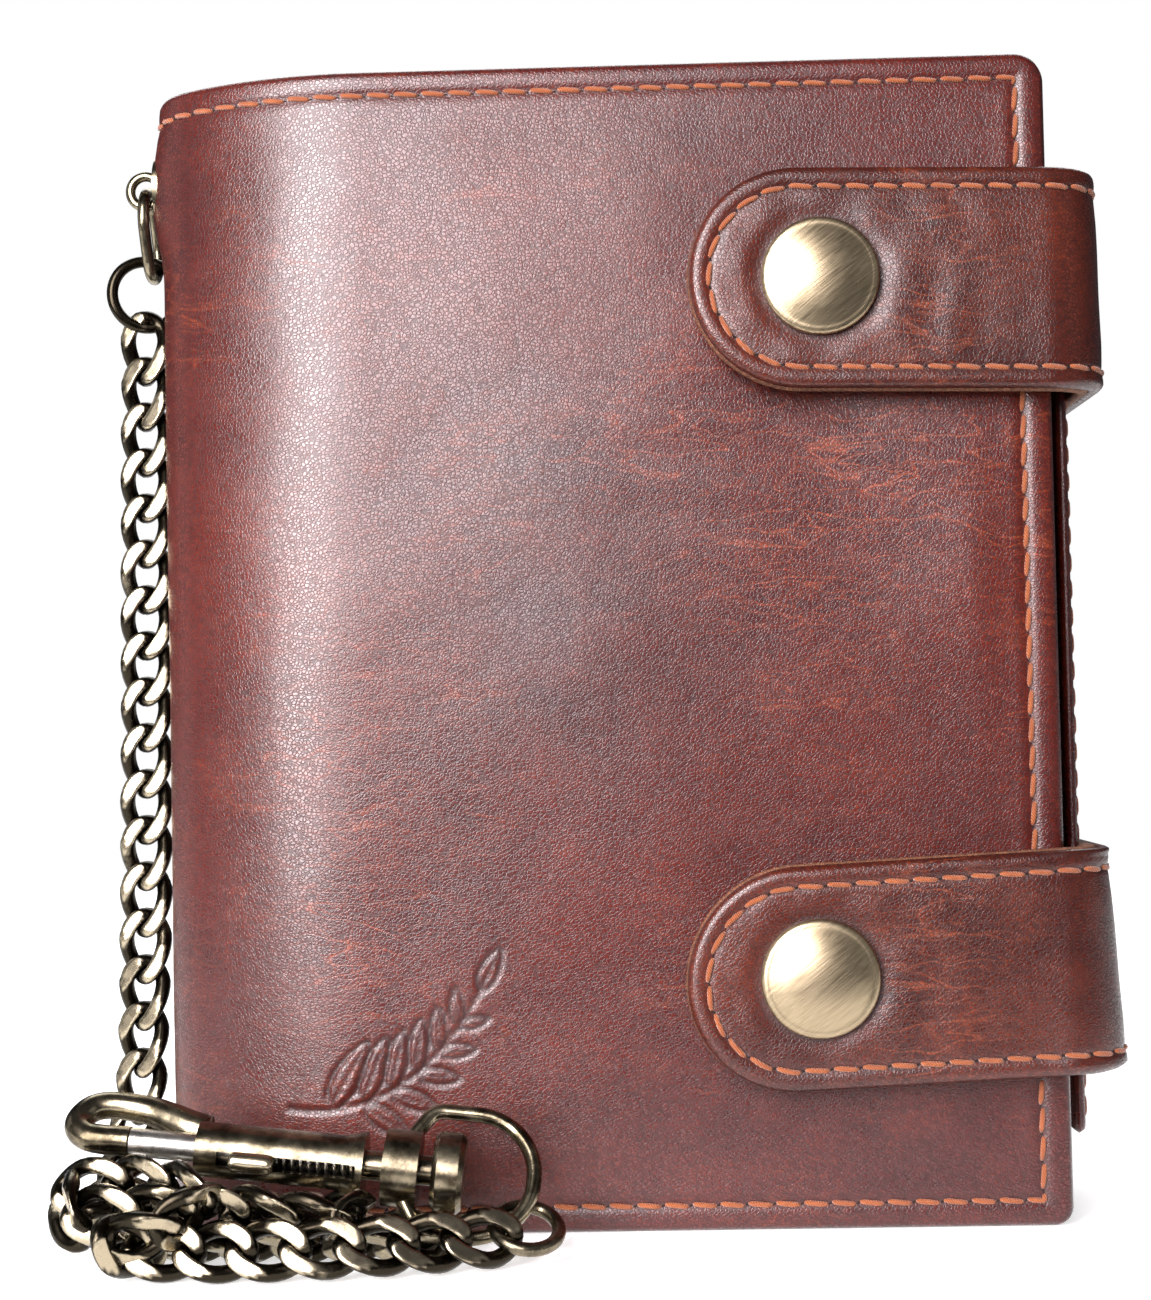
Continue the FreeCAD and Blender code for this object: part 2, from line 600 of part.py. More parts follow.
def build_chain_mount():
    """A riveted plate with a lug on the spine, the bail that hangs in it and the chain's jump ring."""
    level = size("plate_level")
    middle = size("plate_middle")
    sheet_metal = size("plate_sheet")
    plate = Part.makeCylinder(size("plate_radius"), sheet_metal, Vector(-sheet_metal, middle, level),
                              Vector(1, 0, 0))
    lug_radius = size("lug_radius")
    wire = size("lug_wire")
    lug_centre = Vector(-sheet_metal - lug_radius + wire * 0.6, middle, level)
    lug = Part.makeTorus(lug_radius, wire, lug_centre, Vector(0, 1, 0))
    solid("chain_plate", plate.fuse(lug.cut(Part.makeBox(20, 20, 20, Vector(-sheet_metal * 0.5, 0, 100)))))
    bail_radius = size("bail_half_width")
    length = size("bail_length")
    straight = length - 2 * bail_radius
    half = bail_radius
    bail_wire = size("bail_wire")
    bow = Part.makeTorus(half, bail_wire, Vector(0, 0, 0), Vector(1, 0, 0), -180, 180, 360)
    upper = bow.cut(Part.makeBox(20, 20, 20, Vector(-10, -10, -20)))
    lower = bow.cut(Part.makeBox(20, 20, 20, Vector(-10, -10, 0))).translated(Vector(0, 0, -straight))
    legs = [Part.makeCylinder(bail_wire, straight, Vector(0, side * half, -straight), Vector(0, 0, 1))
            for side in (-1, 1)]
    bail = upper.fuse([lower] + legs)
    slack = lug_radius - wire - bail_wire
    bail.translate(Vector(0, 0, -half))
    bail.rotate(Vector(0, 0, 0), Vector(1, 0, 0), size("bail_lean"))
    bail.translate(lug_centre - Vector(0, 0, slack * 0.6))
    solid("chain_bail", bail)
    turn = math.radians(size("ring_turn"))
    ring = Part.makeTorus(size("ring_radius"), size("ring_wire"),
                          Vector(-size("ring_left"), size("ring_back"), size("ring_level")),
                          Vector(-math.sin(turn), math.cos(turn), 0))
    solid("jump_ring", ring)


def chain_radii(points):
    """The arc at each inner point, as large as its two runs allow."""
    share = 0.45
    radii = []
    for before, here, after in zip(points, points[1:], points[2:]):
        shorter = min((here - before).Length, (after - here).Length)
        turn = (here - before).getAngle(after - here)
        radii.append(share * shorter / math.tan(turn / 2))
    return radii


def build_chain():
    """The chain's free stretch as a plain tube, its pile as one solid and the ring at its end."""
    points = [Vector(*point) for point in CHAIN_ROUTE]
    radii = chain_radii(points)
    path = rounded_path(points, radii)
    radius = size("chain_width") / 2
    tube = swept(path, radius)
    ideal = math.pi * radius ** 2 * path.Length
    print("chain run: length %.1f mm, radii %s, volume / (section x length) %.4f"
          % (path.Length, ["%.1f" % value for value in radii], tube.Volume / ideal))
    solid("chain_run", tube)
    left = -size("pile_left")
    front = -size("pile_front")
    step = -size("pile_step")
    back = -size("pile_back")
    high = size("pile_high_top")
    low = size("pile_low_top")
    chamfer = size("pile_chamfer")
    profile = Part.makePolygon([
        Vector(left, front, 0), Vector(left, front, high - chamfer),
        Vector(left, front + chamfer, high), Vector(left, step, high), Vector(left, step, 0),
        Vector(left, front, 0),
    ])
    heap = Part.Face(profile).extrude(Vector(size("pile_right") - left, 0, 0))
    shelf = Part.makeBox(size("pile_low_right") - left, back - step, low, Vector(left, step, 0))
    solid("chain_pile", heap.fuse(shelf).removeSplitter())
    ring = Part.makeTorus(size("end_ring_radius"), size("end_ring_wire"), Vector(0, 0, 0),
                          Vector(0.35, -0.62, 0.70))
    solid("chain_end_ring", ring.translated(Vector(size("end_ring_x"), -size("end_ring_front"),
                                                   size("end_ring_level"))))


def clasp_place():
    """The clasp's own frame: X along its axis from the barrel's mouth to the swivel."""
    turn = Rotation(Vector(0, 1, 0), size("clasp_slope"))
    return Placement(Vector(size("clasp_x"), -size("clasp_front"), size("clasp_level")), turn)


def clasp_piece(label, shape):
    """Place one piece of the clasp."""
    placed = shape.copy()
    placed.Placement = clasp_place().multiply(placed.Placement)
    return solid(label, placed)


def rod(radius, start, length):
    """A round bar along the clasp's axis."""
    return Part.makeCylinder(radius, length, Vector(start, 0, 0), Vector(1, 0, 0))


def build_clasp():
    """Trigger clasp: slotted barrel, hook, sprung plunger with its knob, stem and swivelling loop."""
    length = size("barrel_length")
    outer = size("barrel_radius")
    bore = size("barrel_bore")
    flare = size("flare_length")
    slot = size("slot_width")
    stem = size("stem_radius")
    wire = size("hook_wire")
    barrel = rod(outer, 0, length)
    cone = Part.makeCone(outer, size("barrel_flare"), flare, Vector(length - flare, 0, 0), Vector(1, 0, 0))
    end_wall = size("barrel_wall")
    drop = size("slot_drop")
    hollow = rod(bore, -1, length + 1 - end_wall)
    slit = Part.makeBox(length - size("slot_start") - end_wall, 10, slot,
                        Vector(size("slot_start"), -10, -slot / 2 - drop))
    clasp_piece("clasp_barrel", barrel.fuse(cone).cut(hollow).cut(slit))
    clasp_piece("clasp_hook", hook_shape(wire))
    neck_end = size("head_start")
    pin = rod(stem, length, neck_end - length)
    head = rod(size("head_radius"), neck_end, size("head_length"))
    head = head.makeChamfer(0.5, [edge for edge in head.Edges if edge.Length > 20])
    clasp_piece("clasp_stem", pin.fuse(head))
    plunger = rod(size("plunger_radius"), -size("plunger_reach"),
                  size("plunger_reach") + size("plunger_inside"))
    clasp_piece("clasp_plunger", plunger)
    knob_half = slot / 2 - 0.06
    knob = Part.makeBox(size("knob_length"), outer + size("knob_rise") - size("plunger_radius") + 0.3,
                        2 * knob_half,
                        Vector(size("knob_start"), -outer - size("knob_rise"), -knob_half - drop))
    clasp_piece("clasp_knob", knob.cut(rod(size("plunger_radius"), 0, 12)))
    clasp_piece("clasp_spring", spring_shape())
    clasp_piece("swivel_loop", loop_shape())


def hook_shape(wire):
    """The hook: from the barrel's mouth outward, round the end and back to face the plunger."""
    gap = size("hook_gap")
    turn = size("hook_turn")
    nose = size("plunger_reach") + 0.05
    foot = size("barrel_bore") + 0.55
    points = [Vector(0.0, 0, foot), Vector(-5.2, 0, gap - 0.35), Vector(-turn - gap / 2, 0, gap),
              Vector(-turn - gap / 2, 0, 0), Vector(-nose, 0, 0)]
    corner = gap / 2 - 0.02
    hook = swept(rounded_path(points, [6.0, corner, corner]), wire)
    mouth = size("barrel_radius")
    hook = hook.cut(Part.makeBox(20, 20, 20, Vector(0, -10, -10)))
    hook = hook.cut(rod(size("plunger_radius") + 0.12, -nose + 0.02, nose + 5))
    collar = rod(mouth, -0.9, 0.9).cut(rod(size("plunger_radius") + 0.12, -2, 4))
    shape = hook.fuse(collar)
    shape.rotate(Vector(0, 0, 0), Vector(1, 0, 0), -size("hook_lean"))
    return shape


def spring_shape():
    """A compression spring between the plunger's end and the barrel's end wall."""
    start = size("plunger_inside") + size("spring_wire") + 0.02
    end = size("spring_end") - size("spring_wire")
    pitch = (end - start) / size("spring_turns")
    radius = size("spring_radius")
    helix = Part.makeHelix(pitch, end - start, radius)
    ring = Part.Wire([Part.Circle(Vector(radius, 0, 0), Vector(0, 1, 0), size("spring_wire")).toShape()])
    coil = Part.Wire(helix).makePipeShell([ring], True, True)
    coil.rotate(Vector(0, 0, 0), Vector(0, 1, 0), 90)
    coil.translate(Vector(start, 0, 0))
    return coil


def loop_shape():
    """The swivel: an eye round the stem with a closed D of wire."""
    start = size("eye_start")
    length = size("eye_length")
    half = size("loop_half")
    end = size("loop_end")
    middle = start + length / 2
    eye = rod(size("eye_radius"), start, length).cut(rod(size("eye_bore"), start - 1, length + 2))
    points = [Vector(middle, 0, 2.6), Vector(middle + 2.6, 0, half), Vector(end, 0, half),
              Vector(end, 0, -half), Vector(middle + 2.6, 0, -half), Vector(middle, 0, -2.6)]
    corner = size("loop_corner")
    wire = swept(rounded_path(points, [2.0, corner, corner, 2.0]), size("loop_wire"))
    wire = wire.cut(rod(size("eye_bore") + 0.3, 0, 60).common(rod(3, start - 1, length + 2)))
    shape = eye.fuse(wire)
    shape.rotate(Vector(0, 0, 0), Vector(1, 0, 0), -size("loop_lean"))
    return shape


# ---------------------------------------------------------------- checks and export

def check_document():
    """Stop when any object failed or any sub-part has no valid closed solid."""
    for thing in doc.Objects:
        state = " ".join(thing.State)
        if "Invalid" in state or "Error" in state:
            raise RuntimeError("%s failed: %s" % (thing.Label, state))
    for part in parts:
        shape = part.Shape
        if shape.isNull() or not shape.isValid() or not shape.Solids or shape.Volume <= 0:
            raise RuntimeError("%s has no valid solid" % part.Label)


def export():
    """Write each sub-part to its own STEP file and print the wallet's own box."""
    os.makedirs("parts", exist_ok=True)
    whole = FreeCAD.BoundBox()
    for part in parts:
        part.Shape.exportStep("parts/%s.step" % part.Label)
        if part.Label not in CORD_NODES:
            whole.add(part.Shape.BoundBox)
    print("%d sub-parts" % len(parts))
    print("wallet box", [round(value, 3) for value in (whole.XMin, whole.YMin, whole.ZMin,
                                                       whole.XMax, whole.YMax, whole.ZMax)])
    shift = Vector(size("middle_x"), size("middle_y"), 0)
    for name in ("fold_one_angle", "fold_two_angle"):
        print(name, [round(value, 4) for value in (fold_point(name) - shift)])


fill_sheet()
build_covers()
build_side_wall()
build_front_pockets()
build_leaf()
build_back_pockets()
for strap in STRAPS:
    build_strap_tab(strap)
    build_strap_base(strap)
    build_snap(strap)
build_chain_mount()
build_chain()
build_clasp()
doc.recompute()
check_document()
export()
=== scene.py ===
"""Looks of the chain wallet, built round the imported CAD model.

Unless a comment says otherwise, sizes are millimetres in the wallet's own sketch frame: X from the spine's
tip, Y from the front cover's face and Z up from the floor. place() turns them into metres in the row's frame.
Only the chain's route, the lights, the floor and the materials' bump heights are in metres.
"""

import json
import math
import random

import bmesh
import bpy
import numpy as np
from mathutils import Matrix, Quaternion, Vector


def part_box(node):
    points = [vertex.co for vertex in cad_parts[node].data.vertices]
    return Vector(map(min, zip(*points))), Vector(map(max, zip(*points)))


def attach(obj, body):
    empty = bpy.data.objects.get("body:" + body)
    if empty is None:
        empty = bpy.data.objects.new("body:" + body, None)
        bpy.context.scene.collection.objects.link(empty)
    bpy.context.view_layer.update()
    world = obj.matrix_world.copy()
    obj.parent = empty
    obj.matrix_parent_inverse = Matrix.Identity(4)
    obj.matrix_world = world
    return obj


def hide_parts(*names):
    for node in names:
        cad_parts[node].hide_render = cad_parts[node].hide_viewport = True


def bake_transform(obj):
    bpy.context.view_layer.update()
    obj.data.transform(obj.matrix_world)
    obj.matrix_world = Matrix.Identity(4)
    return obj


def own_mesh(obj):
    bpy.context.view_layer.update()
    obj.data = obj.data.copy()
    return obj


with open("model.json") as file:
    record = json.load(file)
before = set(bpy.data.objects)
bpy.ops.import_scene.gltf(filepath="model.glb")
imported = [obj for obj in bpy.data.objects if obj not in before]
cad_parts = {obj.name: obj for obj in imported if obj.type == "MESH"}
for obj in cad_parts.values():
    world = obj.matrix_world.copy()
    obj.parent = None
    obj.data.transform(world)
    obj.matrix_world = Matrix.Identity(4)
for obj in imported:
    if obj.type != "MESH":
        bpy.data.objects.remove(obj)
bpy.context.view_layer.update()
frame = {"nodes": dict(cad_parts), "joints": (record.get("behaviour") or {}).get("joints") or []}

MM = 0.001
COVER_LOW = np.array(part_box("front_cover")[0])
ORIGIN = np.array([COVER_LOW[0], COVER_LOW[1], 0.0])

# ---------------------------------------------------------------- sizes that repeat the CAD's, in mm
HEIGHT = 125.0
DEPTH = 26.0
LEATHER = 1.4
LINING = 0.45
TIP_RADIUS = 9.0
SPLIT = math.radians(30)
BIG_RADIUS = (DEPTH / 2 - TIP_RADIUS * math.cos(SPLIT)) / (1 - math.cos(SPLIT))
FLAT_START = TIP_RADIUS + (BIG_RADIUS - TIP_RADIUS) * math.sin(SPLIT)
FRONT_RIGHT = 97.6
BACK_RIGHT = 99.0
STRAP_OUTER = 102.8
STRAP_FACE = -4.8
STRAP_LAYER = 1.3
STRAP_WIDTH = 23.4
FRONT_BEND = 6.5
BACK_BEND = 4.1
STRAP_BACK = 28.65
STRAP_ANCHOR = 68.0
STRAPS = {"upper": {"x": 72.8, "z": 100.4, "rise": -1.4}, "lower": {"x": 71.1, "z": 27.0, "rise": 2.5}}
SNAP_TO_TIP = 13.8
STRAP_SEAM = 2.15
SEAM_SIDE, SEAM_END = 2.75, 3.15
THREAD = 0.30
FINE_THREAD = 0.22
STITCH = 2.95
MEETING_ANGLE = 118.0
ON_AXIS = 0.02


def place(points):
    """Sketch millimetres to the row's metres."""
    return np.asarray(points, float) * MM + ORIGIN


def sketch(point):
    """The row's metres to sketch millimetres."""
    return (np.array(point, float) - ORIGIN) / MM


def ramped(value, width):
    """0 below zero, 1 above the width, and straight between."""
    return np.clip(value / width, 0, 1)


def bell(distance, width, power=2):
    """1 at distance 0, falling smoothly to nothing."""
    return np.exp(-np.abs(distance / width) ** power)


def mound(x, z, at, spread):
    """A bell in two directions."""
    return np.exp(-((x - at[0]) / spread[0]) ** 2 - ((z - at[1]) / spread[1]) ** 2)


def on_circle(degrees):
    """The direction at an angle in the XY plane."""
    return np.array([math.cos(math.radians(degrees)), math.sin(math.radians(degrees)), 0.0])


def normalised(vector):
    return vector / np.linalg.norm(vector)


def full_turn(count):
    """Evenly spaced angles once round, in radians."""
    return np.linspace(0, 2 * math.pi, count, endpoint=False)


def node_box(node):
    """A CAD node's lowest and highest corner, in sketch millimetres."""
    return [sketch(corner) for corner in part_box(node)]


def catmull(values, where):
    """Smooth values through evenly numbered stops."""
    values = np.array(values, float)
    found = []
    for position in where:
        i = min(int(position), len(values) - 2)
        t = position - i
        before, a = values[max(i - 1, 0)], values[i]
        b, after = values[i + 1], values[min(i + 2, len(values) - 1)]
        found.append(0.5 * (2 * a + (b - before) * t + (2 * before - 5 * a + 4 * b - after) * t * t
                            + (3 * a - before - 3 * b + after) * t ** 3))
    return np.array(found)


def smooth_profile(profile, steps=4):
    """A (radius, distance) profile with each run divided, along a smooth curve through its points."""
    fine = catmull(profile, np.arange(steps * (len(profile) - 1) + 1) / steps)
    return [(max(float(r), ON_AXIS), float(a)) for r, a in fine]


# ---------------------------------------------------------------- materials
def node_adder(tree):
    """A helper that adds nodes to a tree and sets or links their inputs."""
    def add(kind, inputs=None, **settings):
        node = tree.nodes.new(kind)
        for key, value in settings.items():
            setattr(node, key, value)
        for key, value in (inputs or {}).items():
            if isinstance(value, bpy.types.NodeSocket):
                tree.links.new(value, node.inputs[key])
            else:
                node.inputs[key].default_value = value
        return node

    return add


def node_material(name, **values):
    """A material, its shader with some constant inputs set, and helpers that link to it and add nodes."""
    material = bpy.data.materials.new(name)
    material.use_nodes = True
    tree = material.node_tree
    shader = tree.nodes["Principled BSDF"]
    for key, value in values.items():
        shader.inputs[key.replace("_", " ")].default_value = value

    def link(**sources):
        for key, source in sources.items():
            tree.links.new(source, shader.inputs[key.replace("_", " ")])

    return material, link, node_adder(tree)


def ramp(add, source, stops):
    """A colour ramp from (position, value or colour) stops."""
    node = add("ShaderNodeValToRGB", {"Fac": source})
    while len(node.color_ramp.elements) < len(stops):
        node.color_ramp.elements.new(0.5)
    for element, (position, value) in zip(node.color_ramp.elements, stops):
        element.position = position
        element.color = (value, value, value, 1) if isinstance(value, (int, float)) else (*value, 1)
    return node.outputs["Color"]


def mixed(add, factor, first, second, blend="MIX"):
    """Two colours mixed by a factor."""
    node = add("ShaderNodeMix", data_type="RGBA", blend_type=blend)
    tree = node.id_data
    for socket, value in ((node.inputs[0], factor), (node.inputs[6], first), (node.inputs[7], second)):
        if isinstance(value, bpy.types.NodeSocket):
            tree.links.new(value, socket)
        elif socket.type == "RGBA":
            socket.default_value = (*value, 1)
        else:
            socket.default_value = value
    return node.outputs[2]


def computed(add, operation, first, second=0.0, clamp=False):
    """One number worked out from two."""
    node = add("ShaderNodeMath", {0: first, 1: second}, operation=operation, use_clamp=clamp)
    return node.outputs[0]


def noise(add, where, scale, detail=2.0, roughness=0.5, output="Fac"):
    return add("ShaderNodeTexNoise", {"Vector": where, "Scale": scale, "Detail": detail,
                                      "Roughness": roughness}).outputs[output]


def mapped(add, where, scale=(1.0, 1.0, 1.0), turn=(0.0, 0.0, 0.0)):
    """Texture coordinates turned, in radians, and scaled."""
    return add("ShaderNodeMapping", {"Vector": where, "Scale": scale, "Rotation": turn}).outputs["Vector"]


def cell_edges(add, where):
    """Distance to the nearest edge between cells."""
    return add("ShaderNodeTexVoronoi", {"Vector": where, "Scale": 1.0},
               feature="DISTANCE_TO_EDGE").outputs["Distance"]


def attribute(add, name):
    return add("ShaderNodeAttribute", attribute_name=name).outputs["Fac"]


def bumped(add, height, strength, distance, under=None):
    inputs = {"Strength": strength, "Distance": distance, "Height": height}
    if under is not None:
        inputs["Normal"] = under
    return add("ShaderNodeBump", inputs).outputs["Normal"]


def times(add, first, second):
    return computed(add, "MULTIPLY", first, second)


def plus(add, first, second, clamp=False):
    return computed(add, "ADD", first, second, clamp)


# each set of long creases: turn in degrees, stretch, width of a line and strength
CREASE_SETS = ((5.0, (4.2, 27.0, 1.0), 0.012, 1.0), (-11.0, (7.0, 36.0, 1.0), 0.013, 0.8),
               (68.0, (8.0, 24.0, 1.0), 0.009, 0.4))
GRAIN_BUMP = 0.00007
SOFT_BUMP = 0.0012


def crease_lines(add, uv):
    """Long wavering creases and short fine cracks: 1 on a line, 0 off it."""
    shifted = add("ShaderNodeMix", {4: uv, 5: noise(add, uv, 14.0, output="Color"), 0: 0.035},
                  data_type="VECTOR").outputs[1]
    line = ramp(add, cell_edges(add, mapped(add, shifted, (44.0, 96.0, 1.0))), [(0.0, 0.4), (0.07, 0.0)])
    for turn, stretch, width, strength in CREASE_SETS:
        wander = noise(add, mapped(add, shifted, stretch, (0.0, 0.0, math.radians(turn))), 1.0, 1.6)
        away = computed(add, "ABSOLUTE", computed(add, "SUBTRACT", wander, 0.5))
        line = computed(add, "MAXIMUM", line, ramp(add, away, [(0.0, strength), (width, 0.0)]))
    return line


def leather(name, dark, mid, light, crease, roughness=0.27, grain=245.0, crease_share=0.55, coat=0.25):
    """Pull-up leather: mottled colour, fine pebble grain, thin reddish creases and a soft coat."""
    material, link, add = node_material(name, Coat_Roughness=0.23, Specular_IOR_Level=0.6)
    uv = add("ShaderNodeUVMap", uv_map="UVMap").outputs["UV"]
    stain_and_shade = attribute(add, "stain_and_shade")
    broad = noise(add, uv, 2.2, 3.0, 0.55)
    patch = noise(add, uv, 13.0, 5.0, 0.6)
    fine = noise(add, uv, 120.0, 3.0)
    where = ramp(add, noise(add, uv, 5.5, 4.0, 0.65), [(0.46, 0.0), (0.68, crease_share)])
    where = plus(add, where, attribute(add, "crease"), clamp=True)
    line = times(add, crease_lines(add, uv), where)
    gap = ramp(add, cell_edges(add, mapped(add, uv, (grain, grain * 1.15, 1.0))), [(0.03, 1.0), (0.20, 0.0)])

    colour = mixed(add, ramp(add, broad, [(0.36, 0.0), (0.62, 1.0)]), dark, mid)
    colour = mixed(add, ramp(add, patch, [(0.42, 0.0), (0.72, 0.55)]), colour, light)
    colour = mixed(add, line, colour, crease)
    colour = mixed(add, ramp(add, fine, [(0.35, 0.28), (0.6, 0.0)]), colour, dark, "MULTIPLY")
    # darker by the point attribute: the sprig's lines, seams and cut edges, and painted shade round the snap caps
    colour = mixed(add, stain_and_shade, colour, tuple(c * 0.14 for c in dark))
    colour = mixed(add, times(add, gap, 0.62), colour, tuple(c * 0.3 for c in dark))

    high = plus(add, times(add, gap, -0.8), times(add, fine, 0.5))
    high = plus(add, high, times(add, line, -0.6))
    rough = plus(add, times(add, patch, 0.14), roughness - 0.07)
    rough = plus(add, rough, times(add, computed(add, "MAXIMUM", gap, line), 0.14))
    link(Base_Color=colour, Normal=bumped(add, patch, 0.10, SOFT_BUMP, bumped(add, high, 0.30, GRAIN_BUMP)),
         Roughness=plus(add, rough, times(add, stain_and_shade, 0.3)), Coat_Weight=ramp(add, gap, [(0.0, coat), (1.0, 0.0)]))
    return material


def metal(name, dark, pale, share=(0.35, 0.7), roughness=0.3, scale=260.0, brushed=None):
    """Aged plated metal: pale where it's rubbed, dark in the recesses, and darker low on a snap cap's rim as
    painted shade; optionally brushed one way.
    """
    material, link, add = node_material(name, Metallic=1.0)
    where = add("ShaderNodeTexCoord").outputs["Object"]
    # the point attribute: rubbed wear, and on the snap caps painted shade low on the rim
    level = plus(add, noise(add, where, scale, 5.0, 0.65), attribute(add, "rubbed"))
    colour = mixed(add, ramp(add, level, [(share[0], 0.0), (share[1], 1.0)]), dark, pale)
    height, strength = noise(add, where, scale * 3, 3.0), 0.12
    if brushed:
        turned = mapped(add, where, turn=(0.0, math.radians(brushed), 0.0))
        height, strength = noise(add, mapped(add, turned, (260.0, 1500.0, 6500.0)), 1.0), 0.16
        colour = mixed(add, ramp(add, height, [(0.3, 0.35), (0.65, 0.0)]), colour, dark)
    link(Base_Color=colour, Normal=bumped(add, height, strength, 0.0001),
         Roughness=plus(add, times(add, height, 0.18), roughness - 0.09))
    return material


def woven(name, dark, light, scale=2600.0, roughness=0.8, sheen=0.3):
    """Plain cloth or twisted thread: crossing fine waves."""
    material, link, add = node_material(name, Roughness=roughness, Sheen_Weight=sheen)
    where = add("ShaderNodeTexCoord").outputs["Object"]
    tilted = mapped(add, where, turn=(0.0, 0.6, 0.0))
    wave = add("ShaderNodeTexWave", {"Vector": tilted, "Scale": scale, "Distortion": 0.6}).outputs["Fac"]
    link(Base_Color=mixed(add, times(add, wave, noise(add, where, 900.0)), dark, light),
         Normal=bumped(add, wave, 0.5, 0.0002))
    return material


def clear_film(name):
    """Slightly hazy clear plastic for the leaf's window."""
    material, link, add = node_material(name, Alpha=0.22, Specular_IOR_Level=0.6)
    haze = noise(add, add("ShaderNodeTexCoord").outputs["Object"], 60.0, 4.0)
    link(Base_Color=ramp(add, haze, [(0.3, (0.72, 0.76, 0.78)), (0.7, (0.86, 0.88, 0.88))]),
         Roughness=plus(add, times(add, haze, 0.2), 0.06))
    return material


COVER = leather("cover_leather_mat", (0.052, 0.0050, 0.0047), (0.106, 0.0104, 0.0053), (0.136, 0.0150, 0.0061),
                (0.31, 0.052, 0.012))
STRAP = leather("strap_leather_mat", (0.047, 0.0060, 0.0033), (0.108, 0.0140, 0.0046), (0.144, 0.0200, 0.0058),
                (0.24, 0.045, 0.013), crease_share=0.35)
BACKING = leather("backing_leather_mat", (0.16, 0.055, 0.025), (0.30, 0.12, 0.055), (0.36, 0.16, 0.08),
                  (0.2, 0.07, 0.03), roughness=0.7, coat=0.0, crease_share=0.2)
INNER = leather("inner_leather_mat", (0.07, 0.018, 0.012), (0.12, 0.030, 0.018), (0.15, 0.040, 0.024),
                (0.2, 0.05, 0.03), roughness=0.5, crease_share=0.25, coat=0.1)
CLOTH = woven("lining_mat", (0.018, 0.012, 0.010), (0.060, 0.042, 0.034))
THREAD_MAT = woven("thread_mat", (0.21, 0.045, 0.009), (0.60, 0.165, 0.034), scale=1500.0, roughness=0.6)
# near-black: painted shade standing for the dark inside of the needle holes
HOLE_SHADE = woven("hole_shade_mat", (0.008, 0.003, 0.002), (0.02, 0.006, 0.004), roughness=0.9, sheen=0.0)
FILM = clear_film("film_mat")
CAP = metal("cap_brass_mat", (0.14, 0.098, 0.050), (0.47, 0.38, 0.245), share=(0.2, 0.55), roughness=0.37,
            scale=120.0, brushed=38.0)
STEEL = metal("steel_mat", (0.12, 0.11, 0.10), (0.62, 0.60, 0.56), share=(0.2, 0.6), roughness=0.28)
BRASS = metal("antique_brass_mat", (0.030, 0.025, 0.017), (0.42, 0.36, 0.25), share=(0.56, 1.15), roughness=0.27)
BODY_BRASS = metal("clasp_brass_mat", (0.055, 0.045, 0.028), (0.44, 0.38, 0.26), share=(0.36, 0.72),
                   roughness=0.25)


# ---------------------------------------------------------------- mesh building
def build(name, points, faces, material, slot, uv=None, **attributes):
    """A smooth mesh object from sketch-frame points, with a UV map and point attributes."""
    mesh = bpy.data.meshes.new(name)
    mesh.from_pydata(place(points).tolist(), [], [list(map(int, f)) for f in faces])
    mesh.update()
    mesh.shade_smooth()
    layer = mesh.uv_layers.new(name="UVMap")
    loops = np.zeros(len(mesh.loops), int)
    mesh.loops.foreach_get("vertex_index", loops)
    flat = np.asarray(points, float)[:, [0, 2]] / 100 if uv is None else np.asarray(uv, float)
    layer.data.foreach_set("uv", flat[loops].astype(np.float32).ravel())
    for key, values in attributes.items():
        attribute = mesh.attributes.new(key, "FLOAT", "POINT")
        attribute.data.foreach_set("value", np.asarray(values, np.float32).ravel())
    made = bpy.data.objects.new(name, mesh)
    bpy.context.scene.collection.objects.link(made)
    mesh.materials.append(material)
    return made


def grid_faces(rows, columns, offset=0, close_rows=False, flip=False):
    """Quads of a grid of points stored row by row."""
    i = np.arange(rows if close_rows else rows - 1)[:, None]
    j = np.arange(columns - 1)[None, :]
    following = (i + 1) % rows
    quads = np.stack([i * columns + j, i * columns + j + 1, following * columns + j + 1,
                      following * columns + j], axis=-1).reshape(-1, 4) + offset
    return quads[:, ::-1] if flip else quads


def border(rows, columns):
    """Indices of a grid's border points, once round."""
    top = [(0, j) for j in range(columns)]
    right = [(i, columns - 1) for i in range(1, rows)]
    bottom = [(rows - 1, j) for j in range(columns - 2, -1, -1)]
    left = [(i, 0) for i in range(rows - 2, 0, -1)]
    return [i * columns + j for i, j in top + right + bottom + left]


def ring_faces(rings, around, closed=False):
    """Quads between rings of points; an open run of rings also gets its two end faces."""
    faces = [(i * around + k, i * around + (k + 1) % around, (i + 1) % rings * around + (k + 1) % around,
              (i + 1) % rings * around + k) for i in range(rings if closed else rings - 1) for k in range(around)]
    if not closed:
        faces += [tuple(range(around))[::-1], tuple(range((rings - 1) * around, rings * around))]
    return faces


def marks(low, high, step, fine=(), fine_step=0.25):
    """Positions from low to high, closer together inside the fine ranges."""
    near = 1e-6
    found = [low]
    while found[-1] < high - near:
        here = found[-1]
        inside = any(a - near <= here < b for a, b in fine)
        following = here + (fine_step if inside else step)
        for a, _ in fine:
            if here < a - near < following:
                following = a
        found.append(min(following, high))
    return np.array(found)


def edge_marks(length, step, margin, fine_step):
    """Positions along a whole length, closer together near both its ends."""
    return marks(0, length, step, [(0, margin), (length - margin, length)], fine_step)


